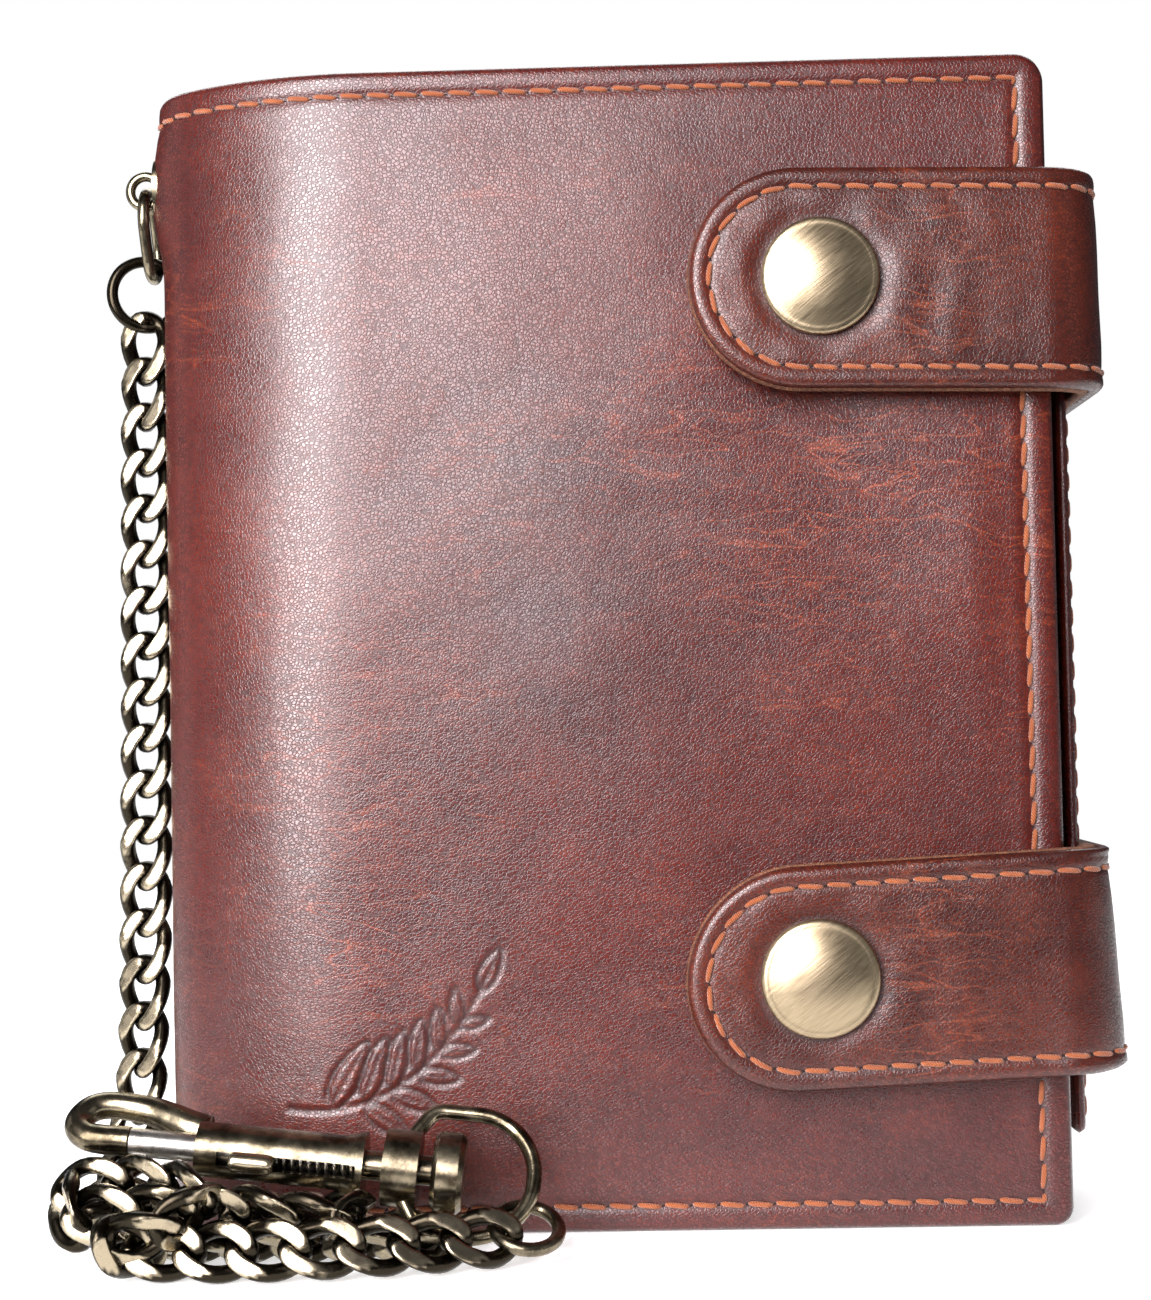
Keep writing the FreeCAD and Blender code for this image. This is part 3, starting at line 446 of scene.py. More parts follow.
class Sheet:
    """A strip of leather or cloth along a path, with a height across it.

    points and normals run along the outer face; s is the distance along it and h the height. free says
    which of the path's start and end are free edges, radii gives the low and high corner's radius at each,
    and slant(s, h) lifts the strip off its straight run.
    """

    def __init__(self, points, normals, height, base=0.0, axis=(0, 0, 1), radii=((0, 0), (0, 0)),
                 free=(True, True), slant=None):
        self.points = np.asarray(points, float)
        self.normals = np.asarray(normals, float)
        steps = np.linalg.norm(np.diff(self.points, axis=0), axis=1)
        self.s = np.concatenate([[0], np.cumsum(steps)])
        self.length = self.s[-1]
        self.height = height
        self.base = base
        self.axis = np.asarray(axis, float)
        self.radii = radii
        self.free = free
        self.slant = slant

    def at(self, s, h, out=0.0):
        """Points at distances s and heights h, raised by out along the normal."""
        s, h, out = np.broadcast_arrays(np.asarray(s, float), np.asarray(h, float), np.asarray(out, float))
        inside = np.clip(s, 0, self.length)
        point = np.stack([np.interp(inside, self.s, self.points[:, k]) for k in range(3)], -1)
        normal = np.stack([np.interp(inside, self.s, self.normals[:, k]) for k in range(3)], -1)
        lift = h + self.base
        if self.slant is not None:
            lift = lift + self.slant(inside, h)
        return point + self.axis * lift[..., None] + normal * out[..., None]

    def normal_at(self, s):
        """The outward direction at one distance."""
        return normalised(np.array([np.interp(s, self.s, self.normals[:, k]) for k in range(3)]))

    def inset(self, s, h):
        """How far inside the nearest free edge a point lies, with the corners rounded."""
        far = 1e4
        low_s = 0.0 if self.free[0] else -far
        high_s = self.length if self.free[1] else self.length + far
        half = np.array([(high_s - low_s) / 2, self.height / 2])
        x = np.asarray(s, float) - (low_s + high_s) / 2
        y = np.asarray(h, float) - self.height / 2
        at_start, at_end = np.array(self.radii[0], float), np.array(self.radii[1], float)
        radius = np.where(x < 0, np.where(y < 0, at_start[0], at_start[1]),
                          np.where(y < 0, at_end[0], at_end[1]))
        qx = np.abs(x) - half[0] + radius
        qy = np.abs(y) - half[1] + radius
        outside = np.hypot(np.maximum(qx, 0), np.maximum(qy, 0))
        return -(np.minimum(np.maximum(qx, qy), 0) + outside - radius)

    def rounded(self, s, h):
        """Grid positions with their square corners pressed into quarter discs."""
        s, h = s.copy(), h.copy()
        for end, start_side in ((0, True), (1, False)):
            for side in (0, 1):
                radius = self.radii[end][side]
                if radius <= 0:
                    continue
                centre_s = radius if start_side else self.length - radius
                centre_h = radius if side == 0 else self.height - radius
                u = (centre_s - s if start_side else s - centre_s) / radius
                v = (centre_h - h if side == 0 else h - centre_h) / radius
                inside = (u > 0) & (v > 0)
                new_u = u * np.sqrt(1 - np.clip(v, 0, 1) ** 2 / 2)
                new_v = v * np.sqrt(1 - np.clip(u, 0, 1) ** 2 / 2)
                s = np.where(inside, centre_s + (-1 if start_side else 1) * new_u * radius, s)
                h = np.where(inside, centre_h + (-1 if side == 0 else 1) * new_v * radius, h)
        return s, h


def edge_drop(inset, radius):
    """How far a face falls away towards a rounded edge."""
    reach = radius - np.minimum(np.maximum(inset, 0), radius)
    return radius - np.sqrt(np.maximum(radius ** 2 - reach ** 2, 0))


def skin(name, sheet, thick, s_marks, h_marks, material, slot, relief=None, back_relief=None, depth=0.0,
         edge=None, stain_and_shade=None, crease=None, uv_shift=(0.0, 0.0)):
    """A closed sheet of leather along a Sheet, its outer face at depth below the path."""
    s_grid, h_grid = np.meshgrid(s_marks, h_marks, indexing="ij")
    s_grid, h_grid = sheet.rounded(s_grid, h_grid)
    inset = sheet.inset(s_grid, h_grid)
    radius = thick / 2 if edge is None else edge
    drop = edge_drop(inset, radius) * (thick / 2 / radius)
    fade = ramped(inset, 0.8)
    raised = relief(s_grid, h_grid) if relief else 0.0
    sunk = back_relief(s_grid, h_grid) if back_relief else 0.0
    outer = sheet.at(s_grid, h_grid, -depth - drop + raised * fade)
    inner = sheet.at(s_grid, h_grid, -depth - thick + drop + sunk * fade)
    rows, columns = s_grid.shape
    count = rows * columns
    faces = [grid_faces(rows, columns, flip=True), grid_faces(rows, columns, offset=count)]
    loop = border(rows, columns)
    strip = [(a, b, b + count, a + count) for a, b in zip(loop, loop[1:] + loop[:1])]
    points = np.concatenate([outer.reshape(-1, 3), inner.reshape(-1, 3)])
    uv = np.stack([s_grid, h_grid], -1).reshape(-1, 2) / 100 + np.array(uv_shift)
    uv = np.concatenate([uv, uv + 0.37])
    # per-point marks: the darker one holds real lines and edges, and painted shade round the snap caps
    shades = {}
    for key, shade in (("stain_and_shade", stain_and_shade), ("crease", crease)):
        values = np.zeros_like(s_grid) if shade is None else np.clip(shade(s_grid, h_grid), 0, 1)
        shades[key] = np.concatenate([values.ravel(), np.zeros(count)])
    made = build(name, points, [f for group in faces for f in group] + strip, material, slot, uv=uv, **shades)
    weld(made, 1e-6)
    return made


def weld(made, distance):
    """Join points that meet, so that a sheet's two faces close along its edges."""
    work = bmesh.new()
    work.from_mesh(made.data)
    bmesh.ops.remove_doubles(work, verts=work.verts, dist=distance)
    bmesh.ops.recalc_face_normals(work, faces=work.faces)
    work.to_mesh(made.data)
    work.free()
    made.data.shade_smooth()


def tube(points, radius, sides=10, closed=False, normal=(0.0, 0.0, 1.0)):
    """Points and quads of a round wire along points; radius may vary along it."""
    points = np.asarray(points, float)
    count = len(points)
    radius = np.broadcast_to(np.asarray(radius, float), (count,))
    if closed:
        tangent = np.roll(points, -1, 0) - np.roll(points, 1, 0)
    else:
        tangent = np.gradient(points, axis=0)
    tangent /= np.linalg.norm(tangent, axis=1)[:, None]
    rings = []
    side = np.cross(tangent[0], normal)
    if np.linalg.norm(side) < 1e-3:
        side = np.cross(tangent[0], (1.0, 0.0, 0.0))
    turn = full_turn(sides)[:, None]
    for here, along, thick in zip(points, tangent, radius):
        side = normalised(side - along * (side @ along))
        rings.append(here + thick * (np.cos(turn) * side + np.sin(turn) * np.cross(along, side)))
    return np.concatenate(rings), ring_faces(count, sides, closed)


def merged(groups):
    """Several (points, faces) groups as one."""
    points, faces, offset = [], [], 0
    for verts, quads in groups:
        points.append(verts)
        faces += [tuple(np.array(f) + offset) for f in quads]
        offset += len(verts)
    return np.concatenate(points), faces


def lathe(name, profile, centre, axis, material, slot, segments=96, rubbed=0.0):
    """A turned piece from (radius, distance along the axis) points."""
    axis = normalised(np.array(axis, float))
    side = np.cross(axis, (0.0, 0.0, 1.0))
    if np.linalg.norm(side) < 1e-3:
        side = np.cross(axis, (0.0, 1.0, 0.0))
    side = normalised(side)
    turn = full_turn(segments)[:, None]
    around = np.cos(turn) * side + np.sin(turn) * np.cross(axis, side)
    points = np.concatenate([np.array(centre) + axis * along + around * radius for radius, along in profile])
    made = build(name, points, ring_faces(len(profile), segments), material, slot,
                 rubbed=np.repeat(np.broadcast_to(rubbed, len(profile)), segments))
    weld(made, 1e-7)
    return made


# ---------------------------------------------------------------- seams
def along_line(corners, step=0.2):
    """A dense line through (s, h) corners."""
    found = [np.array(corners[0], float)]
    for a, b in zip(corners, corners[1:]):
        a, b = np.array(a, float), np.array(b, float)
        count = max(1, int(np.linalg.norm(b - a) / step))
        found += [a + (b - a) * k / count for k in range(1, count + 1)]
    return np.array(found)


HOLE_AHEAD, HOLE_ACROSS, HOLE_SIDES = 0.30, 0.25, 8
STITCH_SHARE = 0.84


def seam(name, sheet, line, height=0.0, pitch=STITCH, thread=THREAD, relief=None):
    """Thread stitches along a line on a sheet, and near-black discs of painted shade for the needle holes between
    them.
    """
    lift = 0.0 if relief is None else relief(line[:, 0], line[:, 1])
    placed = sheet.at(line[:, 0], line[:, 1], height + lift)
    steps = np.linalg.norm(np.diff(placed, axis=0), axis=1)
    run = np.concatenate([[0], np.cumsum(steps)])
    count = max(1, int(round(run[-1] / pitch)))
    pitch = run[-1] / count
    half = pitch * STITCH_SHARE / 2
    spots = np.linspace(-1, 1, 9)
    arch = (0.30 * (1 - spots ** 4) - 0.16) * thread / 0.33
    width = thread * (0.72 + 0.28 * (1 - spots ** 4))
    turn = full_turn(HOLE_SIDES)[:, None]

    def on_line(where):
        return np.stack([np.interp(where, run, placed[:, a]) for a in range(3)], -1)

    threads, holes = [], []
    for k in range(count):
        middle = (k + 0.5) * pitch
        core = on_line(middle + spots * half)
        out = sheet.normal_at(np.interp(middle, run, line[:, 0]))
        ahead = normalised(core[-1] - core[0])
        across = np.cross(ahead, out)
        core = core + out * arch[:, None] + across * (spots * 0.13)[:, None]
        threads.append(tube(core, width, 8, normal=out))
        # each needle hole is a flat near-black disc on the leather: painted shade, not a hole
        for sign in (-1, 1):
            centre = on_line(middle + sign * (half + 0.13)) + across * (sign * 0.10)
            rim = centre + ahead * HOLE_AHEAD * np.cos(turn) + across * HOLE_ACROSS * np.sin(turn) + out * 0.01
            holes.append((np.concatenate([rim, [centre + out * 0.07]]),
                          [(a, (a + 1) % HOLE_SIDES, HOLE_SIDES) for a in range(HOLE_SIDES)]))
    return (build(name, *merged(threads), THREAD_MAT, "thread"),
            build(name + "_hole_shades", *merged(holes), HOLE_SHADE, "thread"))


# ---------------------------------------------------------------- camera
CAMERA_AT = (52.735, -240.0, 53.737)
CAMERA_YAW, CAMERA_PITCH, CAMERA_ROLL = (math.radians(a) for a in (-1.566, 1.935, -1.175))
CAMERA_LENS = 62.23


def make_camera():
    """The main view: from the front, a little above the wallet's middle."""
    ahead = Vector((math.sin(CAMERA_YAW) * math.cos(CAMERA_PITCH), math.cos(CAMERA_YAW) * math.cos(CAMERA_PITCH),
                    math.sin(CAMERA_PITCH)))
    level = Vector((math.cos(CAMERA_YAW), -math.sin(CAMERA_YAW), 0))
    upright = level.cross(ahead)
    right = level * math.cos(CAMERA_ROLL) + upright * math.sin(CAMERA_ROLL)
    up = upright * math.cos(CAMERA_ROLL) - level * math.sin(CAMERA_ROLL)
    data = bpy.data.cameras.new("camera")
    data.lens = CAMERA_LENS
    data.sensor_width = 36.0
    data.clip_start = 0.005
    data.dof.use_dof = False
    camera = bpy.data.objects.new("camera", data)
    bpy.context.scene.collection.objects.link(camera)
    matrix = Matrix((right, up, -ahead)).transposed().to_4x4()
    matrix.translation = Vector(place(CAMERA_AT))
    camera.matrix_world = matrix
    bpy.context.scene.camera = camera


make_camera()


# ---------------------------------------------------------------- chain
CHAIN_WIDTH = 6.2
CHAIN_WIRE = 0.88
CHAIN_PITCH = 5.3
CURB_TWIST = math.radians(44)
GROUND_FLAT = 1.02
LINK_PLAY = 6
# how far the links are turned about the chain, in degrees, by share of its length
LINK_TURNS = ((0.0, 6), (0.12, -8), (0.24, 10), (0.31, 5), (0.37, -30), (0.44, 20), (0.50, 58), (0.56, 15),
              (0.61, -48), (0.66, -15), (0.71, 52), (0.77, 95), (0.81, 60), (0.85, 88), (0.90, 70), (1.0, 60))
# the chain's route in metres, from the sketch origin: down from the jump ring, through the
# heap and along its front
CHAIN_ROUTE = [
    (-0.0032, 0.0173, 0.1010), (-0.0041, 0.0176, 0.0160), (-0.0056, 0.0126, 0.0054), (-0.0063, 0.0046, 0.0032),
    (-0.0054, -0.0025, 0.0026), (-0.0020, -0.0075, 0.0022), (0.0050, -0.0090, 0.0020),
    (0.0150, -0.0070, 0.0020), (0.0250, -0.0078, 0.0020), (0.0315, -0.0105, 0.0022), (0.0325, -0.0138, 0.0024),
    (0.0250, -0.0138, 0.0023), (0.0140, -0.0130, 0.0022), (0.0040, -0.0135, 0.0022),
    (-0.0045, -0.0125, 0.0028), (-0.0078, -0.0080, 0.0050), (-0.0030, -0.0046, 0.0064),
    (0.0050, -0.0056, 0.0054), (0.0130, -0.0086, 0.0050), (0.0210, -0.0112, 0.0053), (0.0255, -0.0150, 0.0058),
    (0.0195, -0.0172, 0.0056), (0.0120, -0.0154, 0.0062), (0.0045, -0.0164, 0.0064),
    (-0.0035, -0.0170, 0.0058), (-0.0080, -0.0128, 0.0072), (-0.0025, -0.0124, 0.0086),
    (0.0045, -0.0148, 0.0088), (0.0105, -0.0176, 0.0074), (0.0050, -0.0205, 0.0052),
    (-0.0025, -0.0196, 0.0034), (0.0035, -0.0180, 0.0026), (0.0110, -0.0192, 0.0030),
    (0.0190, -0.0198, 0.0033), (0.0275, -0.0184, 0.0032), (0.0338, -0.0164, 0.0031), (0.0385, -0.0144, 0.0030),
]


def route_points():
    """The chain's centre line, read from its NURBS spline, in sketch millimetres."""
    curve = bpy.data.curves.new("chain_route", "CURVE")
    curve.dimensions = "3D"
    curve.resolution_u = 24
    spline = curve.splines.new("NURBS")
    spline.points.add(len(CHAIN_ROUTE) - 1)
    for point, where in zip(spline.points, CHAIN_ROUTE):
        point.co = (*(np.array(where) + ORIGIN), 1.0)
    spline.order_u = 3
    spline.use_endpoint_u = True
    holder = bpy.data.objects.new("chain_route", curve)
    mesh = bpy.data.meshes.new_from_object(holder)
    points = np.array([sketch(v.co) for v in mesh.vertices])
    bpy.data.objects.remove(holder)
    bpy.data.curves.remove(curve)
    bpy.data.meshes.remove(mesh)
    return points


def link_shape(sides=12, around=36):
    """One curb link in its own frame: X along the chain, Y across, Z through; faces ground flat."""
    half_length = (CHAIN_PITCH + 2 * CHAIN_WIRE) / 2
    half_width = CHAIN_WIDTH / 2 - CHAIN_WIRE
    turn = full_turn(around)
    x = half_length * np.sign(np.cos(turn)) * np.abs(np.cos(turn)) ** 0.92
    y = half_width * np.sign(np.sin(turn)) * np.abs(np.sin(turn)) ** 0.88
    twist = CURB_TWIST * x / half_length
    core = np.stack([x, y * np.cos(twist), y * np.sin(twist)], -1)
    points, faces = tube(core, CHAIN_WIRE, sides, closed=True)
    rubbed = ramped(np.abs(points[:, 2]) - GROUND_FLAT, 0.12)
    points[:, 2] = np.clip(points[:, 2], -GROUND_FLAT, GROUND_FLAT)
    return points, faces, rubbed


def chain_twist(share):
    """How far a link is turned about the chain, in radians."""
    return math.radians(np.interp(share, *zip(*LINK_TURNS)))


def build_chain(ring):
    """Curb links along the route, each turned with its neighbours; the whole is one mesh on the front half."""
    line = route_points()
    run = np.concatenate([[0], np.cumsum(np.linalg.norm(np.diff(line, axis=0), axis=1))])
    length = run[-1]
    count = int(round(length / CHAIN_PITCH))
    joints = np.stack([np.interp(np.linspace(0, length, count + 1), run, line[:, k]) for k in range(3)], -1)
    shape, faces, rubbed = link_shape()
    draw = random.Random(11)
    face_normal = np.array([-0.18, -0.98, 0.0])
    groups, worn = [], []
    for k in range(count):
        along = normalised(joints[k + 1] - joints[k])
        face_normal = normalised(face_normal - along * (face_normal @ along))
        turn = chain_twist((k + 0.5) / count) + math.radians(draw.uniform(-LINK_PLAY, LINK_PLAY))
        out = face_normal * math.cos(turn) + np.cross(along, face_normal) * math.sin(turn)
        across = np.cross(out, along)
        middle = (joints[k] + joints[k + 1]) / 2
        placed = middle + shape @ np.stack([along, across, out])
        placed[:, 2] += max(0.0, 0.04 - placed[:, 2].min())
        groups.append((placed, faces))
        worn.append(rubbed * 0.62 - 0.1 * (draw.random() > 0.7))
    points, quads = merged(groups)
    chain = build("chain_links", points, quads, BRASS, "antique_brass", rubbed=np.concatenate(worn))
    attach(chain, "front_half")
    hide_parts("chain_run", "chain_pile")


# ---------------------------------------------------------------- covers
def outline(angle):
    """The spine's outer face: point and outward direction at an angle about its bend, in degrees."""
    out = on_circle(angle)
    if angle >= 270 - math.degrees(SPLIT):
        centre, radius = (FLAT_START, BIG_RADIUS), BIG_RADIUS
    elif angle <= 90 + math.degrees(SPLIT):
        centre, radius = (FLAT_START, DEPTH - BIG_RADIUS), BIG_RADIUS
    else:
        centre, radius = (TIP_RADIUS, DEPTH / 2), TIP_RADIUS
    return np.array([*centre, 0.0]) + radius * out, out


def arc(first, last, step=0.75):
    """Outline points and normals between two angles."""
    found = [outline(angle) for angle in np.linspace(first, last, int(abs(first - last) / step) + 1)]
    return [p for p, _ in found], [n for _, n in found]


def flat_run(start, end, y, normal, step=1.0):
    """Points and normals of a straight stretch along X."""
    xs = np.linspace(start, end, max(2, int(abs(end - start) / step)))
    return [np.array([x, y, 0.0]) for x in xs], [np.array(normal, float)] * len(xs)


def front_path():
    """The cover's outer face from the front's free edge round to where the back's piece begins."""
    points, normals = flat_run(FRONT_RIGHT, FLAT_START, 0.0, (0, -1, 0))
    more, turned = arc(269.25, MEETING_ANGLE)
    return points + more, normals + turned


def back_path():
    """The cover's outer face from there to the back's free edge."""
    points, normals = arc(MEETING_ANGLE, 90.75)
    more, turned = flat_run(FLAT_START, BACK_RIGHT, DEPTH, (0, 1, 0))
    return points + more, normals + turned


FRONT = Sheet(*front_path(), HEIGHT, radii=((2.0, 3.2), (0, 0)), free=(True, False))
BACK = Sheet(*back_path(), HEIGHT, radii=((0, 0), (2.0, 3.2)), free=(False, True))


def seam_inset(sheet, s, h):
    """Signed distance inside the cover's seam line: negative on the hem."""
    side = s - SEAM_END if sheet.free[0] else sheet.length - SEAM_END - s
    return np.minimum(np.minimum(h - SEAM_SIDE, HEIGHT - SEAM_SIDE - h), side)


def hem(q, high=0.20, groove=0.12):
    """Raised hem outside a seam, the groove of the seam and the swell inside it."""
    outside = np.sin(np.pi * ramped(-q, 2.7)) ** 0.7 * high
    return outside - groove * bell(q, 0.40) + 0.07 * bell(q - 1.3, 0.9)


SPRIG = ((14.6, 13.4), (28.5, 11.8), (36.2, 27.6))


def sprig_curve(t):
    """A point of the sprig's stem, in X and Z."""
    a, b, c = (np.array(p) for p in SPRIG)
    return (1 - t) ** 2 * a + 2 * t * (1 - t) * b + t ** 2 * c


def sprig_leaves():
    """Base, direction, length and half width of each leaf: pairs along the stem and one at its tip."""
    found = []
    for number, t in enumerate((0.16, 0.30, 0.43, 0.56, 0.68, 0.80)):
        ahead = sprig_curve(t + 0.02) - sprig_curve(t - 0.02)
        heading = math.atan2(ahead[1], ahead[0])
        for side in (1, -1):
            turn = heading + side * math.radians(54 - 3 * number)
            reach = (8.6 - 0.85 * number) * (1.0 if side > 0 else 0.82)
            if side < 0 and number == 0:
                continue
            found.append((sprig_curve(t), turn, reach, reach * 0.17))
    ahead = sprig_curve(1.0) - sprig_curve(0.96)
    found.append((sprig_curve(0.93), math.atan2(ahead[1], ahead[0]), 5.6, 0.95))
    return found


LEAVES = sprig_leaves()


def sprig(x, z):
    """Depth of the pressed sprig, in mm, and how dark its lines are."""
    press = np.zeros_like(x)
    dark = np.zeros_like(x)
    stem = np.full_like(x, 99.0)
    for t in np.linspace(0, 1, 60):
        spot = sprig_curve(t)
        stem = np.minimum(stem, np.hypot(x - spot[0], z - spot[1]))
    line = bell(stem, 0.30)
    press -= 0.32 * line
    dark = np.maximum(dark, 0.8 * line)
    for base, turn, reach, width in LEAVES:
        along = (x - base[0]) * math.cos(turn) + (z - base[1]) * math.sin(turn)
        across = -(x - base[0]) * math.sin(turn) + (z - base[1]) * math.cos(turn)
        u = along / reach
        inside = (u > 0.06) & (u < 1.0)
        half = width * np.sin(np.pi * ramped(u, 1) ** 0.85) ** 0.8
        rim = bell(np.abs(across) - half, 0.20) * inside
        rib = bell(across, 0.17) * inside * (u < 0.9)
        within = inside & (np.abs(across) < half)
        vein = bell((along - np.abs(across) * 1.2) % 1.25 - 0.6, 0.15) * within
        puff = np.where(within, 1 - (across / np.maximum(half, 1e-3)) ** 2, 0)
        press = np.minimum(press, np.where(within, 0, press)) - np.maximum(0.30 * rim, 0.20 * rib)
        press += 0.10 * puff - 0.07 * vein
        dark = np.maximum(dark, np.maximum(0.85 * rim, np.maximum(0.6 * rib, 0.3 * vein)))
    return np.clip(press, -0.36, 0.12), dark


# the front's slow swells: height, middle (X, Z) and spread
SWELLS = ((0.45, (42, 62), (25, 62)), (0.50, (94, 70), (10, 17)), (-0.45, (73, 90), (13, 16)))
PLATE_AT, PLATE_SPREAD, PLATE_SWELL = (13.0, 114.6), (4.9, 6.4), 1.15
SPRIG_REACH = 96.0


def cover_waves(x, z):
    """The slow unevenness of a soft filled cover, and the pulls beside the upper strap."""
    slow = sum(height * mound(x, z, at, spread) for height, at, spread in SWELLS)
    slow += 0.10 * np.sin(x / 9.0 + z / 23.0) * np.sin(z / 14.0 - x / 31.0)
    slow += 0.05 * np.sin(x / 3.9 - z / 11.0 + 1.0) * np.sin(z / 5.5 + x / 17.0)
    pull = mound(x, z, (74, 82), (20, 9))
    return slow + 0.10 * pull * np.sin((z + 0.16 * x) / 1.15 + 0.8 * np.sin(x / 6.0))


def front_sprig(s, x, h):
    """The sprig on the flat front only, not on the spine."""
    return sprig(np.where(s < SPRIG_REACH, x, 200.0), h)


def front_relief(s, h):
    """Height of the front's leather: hem, sprig, waves and the chain plate under it."""
    x, y, _ = np.moveaxis(FRONT.at(s, 0.0), -1, 0)
    plate = PLATE_SWELL * bell(y - PLATE_AT[0], PLATE_SPREAD[0], 3) * bell(h - PLATE_AT[1], PLATE_SPREAD[1], 3)
    q = seam_inset(FRONT, s, h)
    slow = ramped(q, 6.0) * cover_waves(x, h) * ramped(FRONT.length - s, 30.0)
    return hem(q) + front_sprig(s, x, h)[0] + slow + plate * (x < 12.0)


def cut_edge(sheet, s, h, width):
    """1 on a sheet's bare edge, fading to 0 inside it."""
    return np.clip(1 - sheet.inset(s, h) / width, 0, 1)


def front_stain(s, h):
    """Where the front's leather is darker: the sprig's lines, the seam and the edge."""
    dark = front_sprig(s, FRONT.at(s, 0.0)[..., 0], h)[1]
    return 0.95 * dark + 0.30 * bell(seam_inset(FRONT, s, h), 0.35) + 0.35 * cut_edge(FRONT, s, h, 0.35)


def front_crease(s, h):
    """Where the front's leather is creased: beside the upper strap and along the spine."""
    x = FRONT.at(s, 0.0)[..., 0]
    return 0.9 * mound(x, h, (78, 78), (24, 17)) + 0.55 * mound(x, h, (22, 42), (10, 34))


def back_relief(s, h):
    """Height of the back's leather."""
    x = BACK.at(s, 0.0)[..., 0]
    q = seam_inset(BACK, s, h)
    return hem(q) + 0.5 * ramped(q, 8.0) * cover_waves(x + 8, HEIGHT - h) * ramped(s, 30.0)


def back_stain(s, h):
    """Where the back's leather is darker."""
    return 0.22 * bell(seam_inset(BACK, s, h), 0.35) + 0.35 * cut_edge(BACK, s, h, 0.35)


LINING_MARGIN = 0.7


def build_lining(name, path, radii, free, s_range):
    """The cloth inside one piece of the cover."""
    height = HEIGHT - 2 * LINING_MARGIN
    sheet = Sheet(*path, height, base=LINING_MARGIN, radii=radii, free=free)
    return skin(name, sheet, LINING - 0.05, marks(*s_range, 1.5), marks(0, height, 3.0), CLOTH,
                "lining_fabric", depth=LEATHER + 0.03, edge=0.2)


def build_covers():
    """Leather, lining and seams of the front and back."""
    rim = 4.4
    h_front = marks(0, HEIGHT, 1.0, [(0, rim), (9.5, 31.5), (76.0, 92.0), (HEIGHT - rim, HEIGHT)], 0.30)
    s_front = marks(0, FRONT.length, 1.0, [(0, 4.6), (57.5, 84.5)], 0.30)
    front = skin("cover_front", FRONT, LEATHER, s_front, h_front, COVER, "cover_leather",
                 relief=front_relief, stain_and_shade=front_stain, crease=front_crease)
    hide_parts("front_cover", "spine_cover")
    s_back = marks(0, BACK.length, 1.6, [(BACK.length - 4.6, BACK.length)], 0.35)
    back = skin("cover_back", BACK, LEATHER, s_back, edge_marks(HEIGHT, 1.6, rim, 0.35), COVER, "cover_leather",
                relief=back_relief, stain_and_shade=back_stain, uv_shift=(1.7, 0.4))
    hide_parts("back_cover")
    low, high = SEAM_SIDE, HEIGHT - SEAM_SIDE
    front_line = along_line([(FRONT.length, high), (SEAM_END, high), (SEAM_END, low), (FRONT.length, low)])
    end = BACK.length - SEAM_END
    back_line = along_line([(0, high), (end, high), (end, low), (0, low)])
    front_seam = seam("seam_front", FRONT, front_line, relief=front_relief)
    back_seam = seam("seam_back", BACK, back_line, relief=back_relief)
    cloth_front = build_lining("lining_front", front_path(), ((1.5, 2.5), (0, 0)), (True, False),
                               (2 * LINING_MARGIN, FRONT.length))
    cloth_back = build_lining("lining_back", back_path(), ((0, 0), (1.5, 2.5)), (False, True),
                              (0, BACK.length - 2 * LINING_MARGIN))
    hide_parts("front_lining", "spine_lining")
    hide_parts("back_lining")
    for piece in (front, cloth_front, *front_seam):
        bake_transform(piece)
    for piece in (back, cloth_back, *back_seam):
        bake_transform(piece)


# ---------------------------------------------------------------- straps and snaps
def plan_bend(centre, radius, angles):
    """Points and normals round a bend, seen from above."""
    outs = [on_circle(angle) for angle in angles]
    return [np.array([*centre, 0.0]) + radius * out for out in outs], outs


def strap_path(strap, reach=0.0):
    """A strap's outer face in plan, from its tip round the wallet's edge to its anchor on the back."""
    tip = strap["x"] - SNAP_TO_TIP - reach
    turn, back_turn = STRAP_OUTER - FRONT_BEND, STRAP_OUTER - BACK_BEND
    front_y, back_y = STRAP_FACE + FRONT_BEND, STRAP_BACK - BACK_BEND
    side = [np.array([STRAP_OUTER, y, 0]) for y in np.linspace(front_y + 1, back_y - 0.5, 22)]
    runs = (flat_run(tip, turn, STRAP_FACE, (0, -1, 0)),
            plan_bend((turn, front_y), FRONT_BEND, np.linspace(-88, 0, 45)),
            (side, [np.array([1.0, 0, 0])] * len(side)),
            plan_bend((back_turn, back_y), BACK_BEND, np.linspace(0, 90, 31)),
            flat_run(back_turn - 1, STRAP_ANCHOR - reach, STRAP_BACK, (0, 1, 0)))
    return [sum(parts, []) for parts in zip(*runs)]


LEVEL_FROM = 97.5


def strap_sheet(strap, grow=0.0):
    """The Sheet of one strap, tilted about its snap on the front and level round the edge."""
    points, normals = strap_path(strap, grow)
    width = STRAP_WIDTH + 2 * grow
    slope = math.tan(math.radians(strap["rise"]))
    start = strap["x"] - SNAP_TO_TIP - grow

    def slant(s, h):
        return slope * (np.minimum(s + start, LEVEL_FROM) - strap["x"])

    return Sheet(points, normals, width, base=strap["z"] - width / 2, slant=slant,
                 radii=((width / 2 - 0.01, width / 2 - 0.01), (1.5, 1.5)))


CAP_EDGE = 6.4
# how far a strap leans where it rounds the edge, how much it is rippled behind its snap, and its patch of leather
STRAP_HABITS = {"upper": (0.4, 1.0, 3.1), "lower": (1.5, 0.6, 4.6)}
CAP_PROFILE = ((ON_AXIS, -0.4), (4.0, -0.35), (5.7, -0.25), (6.05, -0.05), (6.2, 0.22), (6.22, 0.48), (6.12, 0.72),
               (5.92, 0.90), (5.66, 1.00), (5.42, 1.04), (5.15, 1.12), (4.4, 1.40), (3.5, 1.70), (2.5, 1.95),
               (1.5, 2.11), (0.7, 2.18), (ON_AXIS, 2.2))


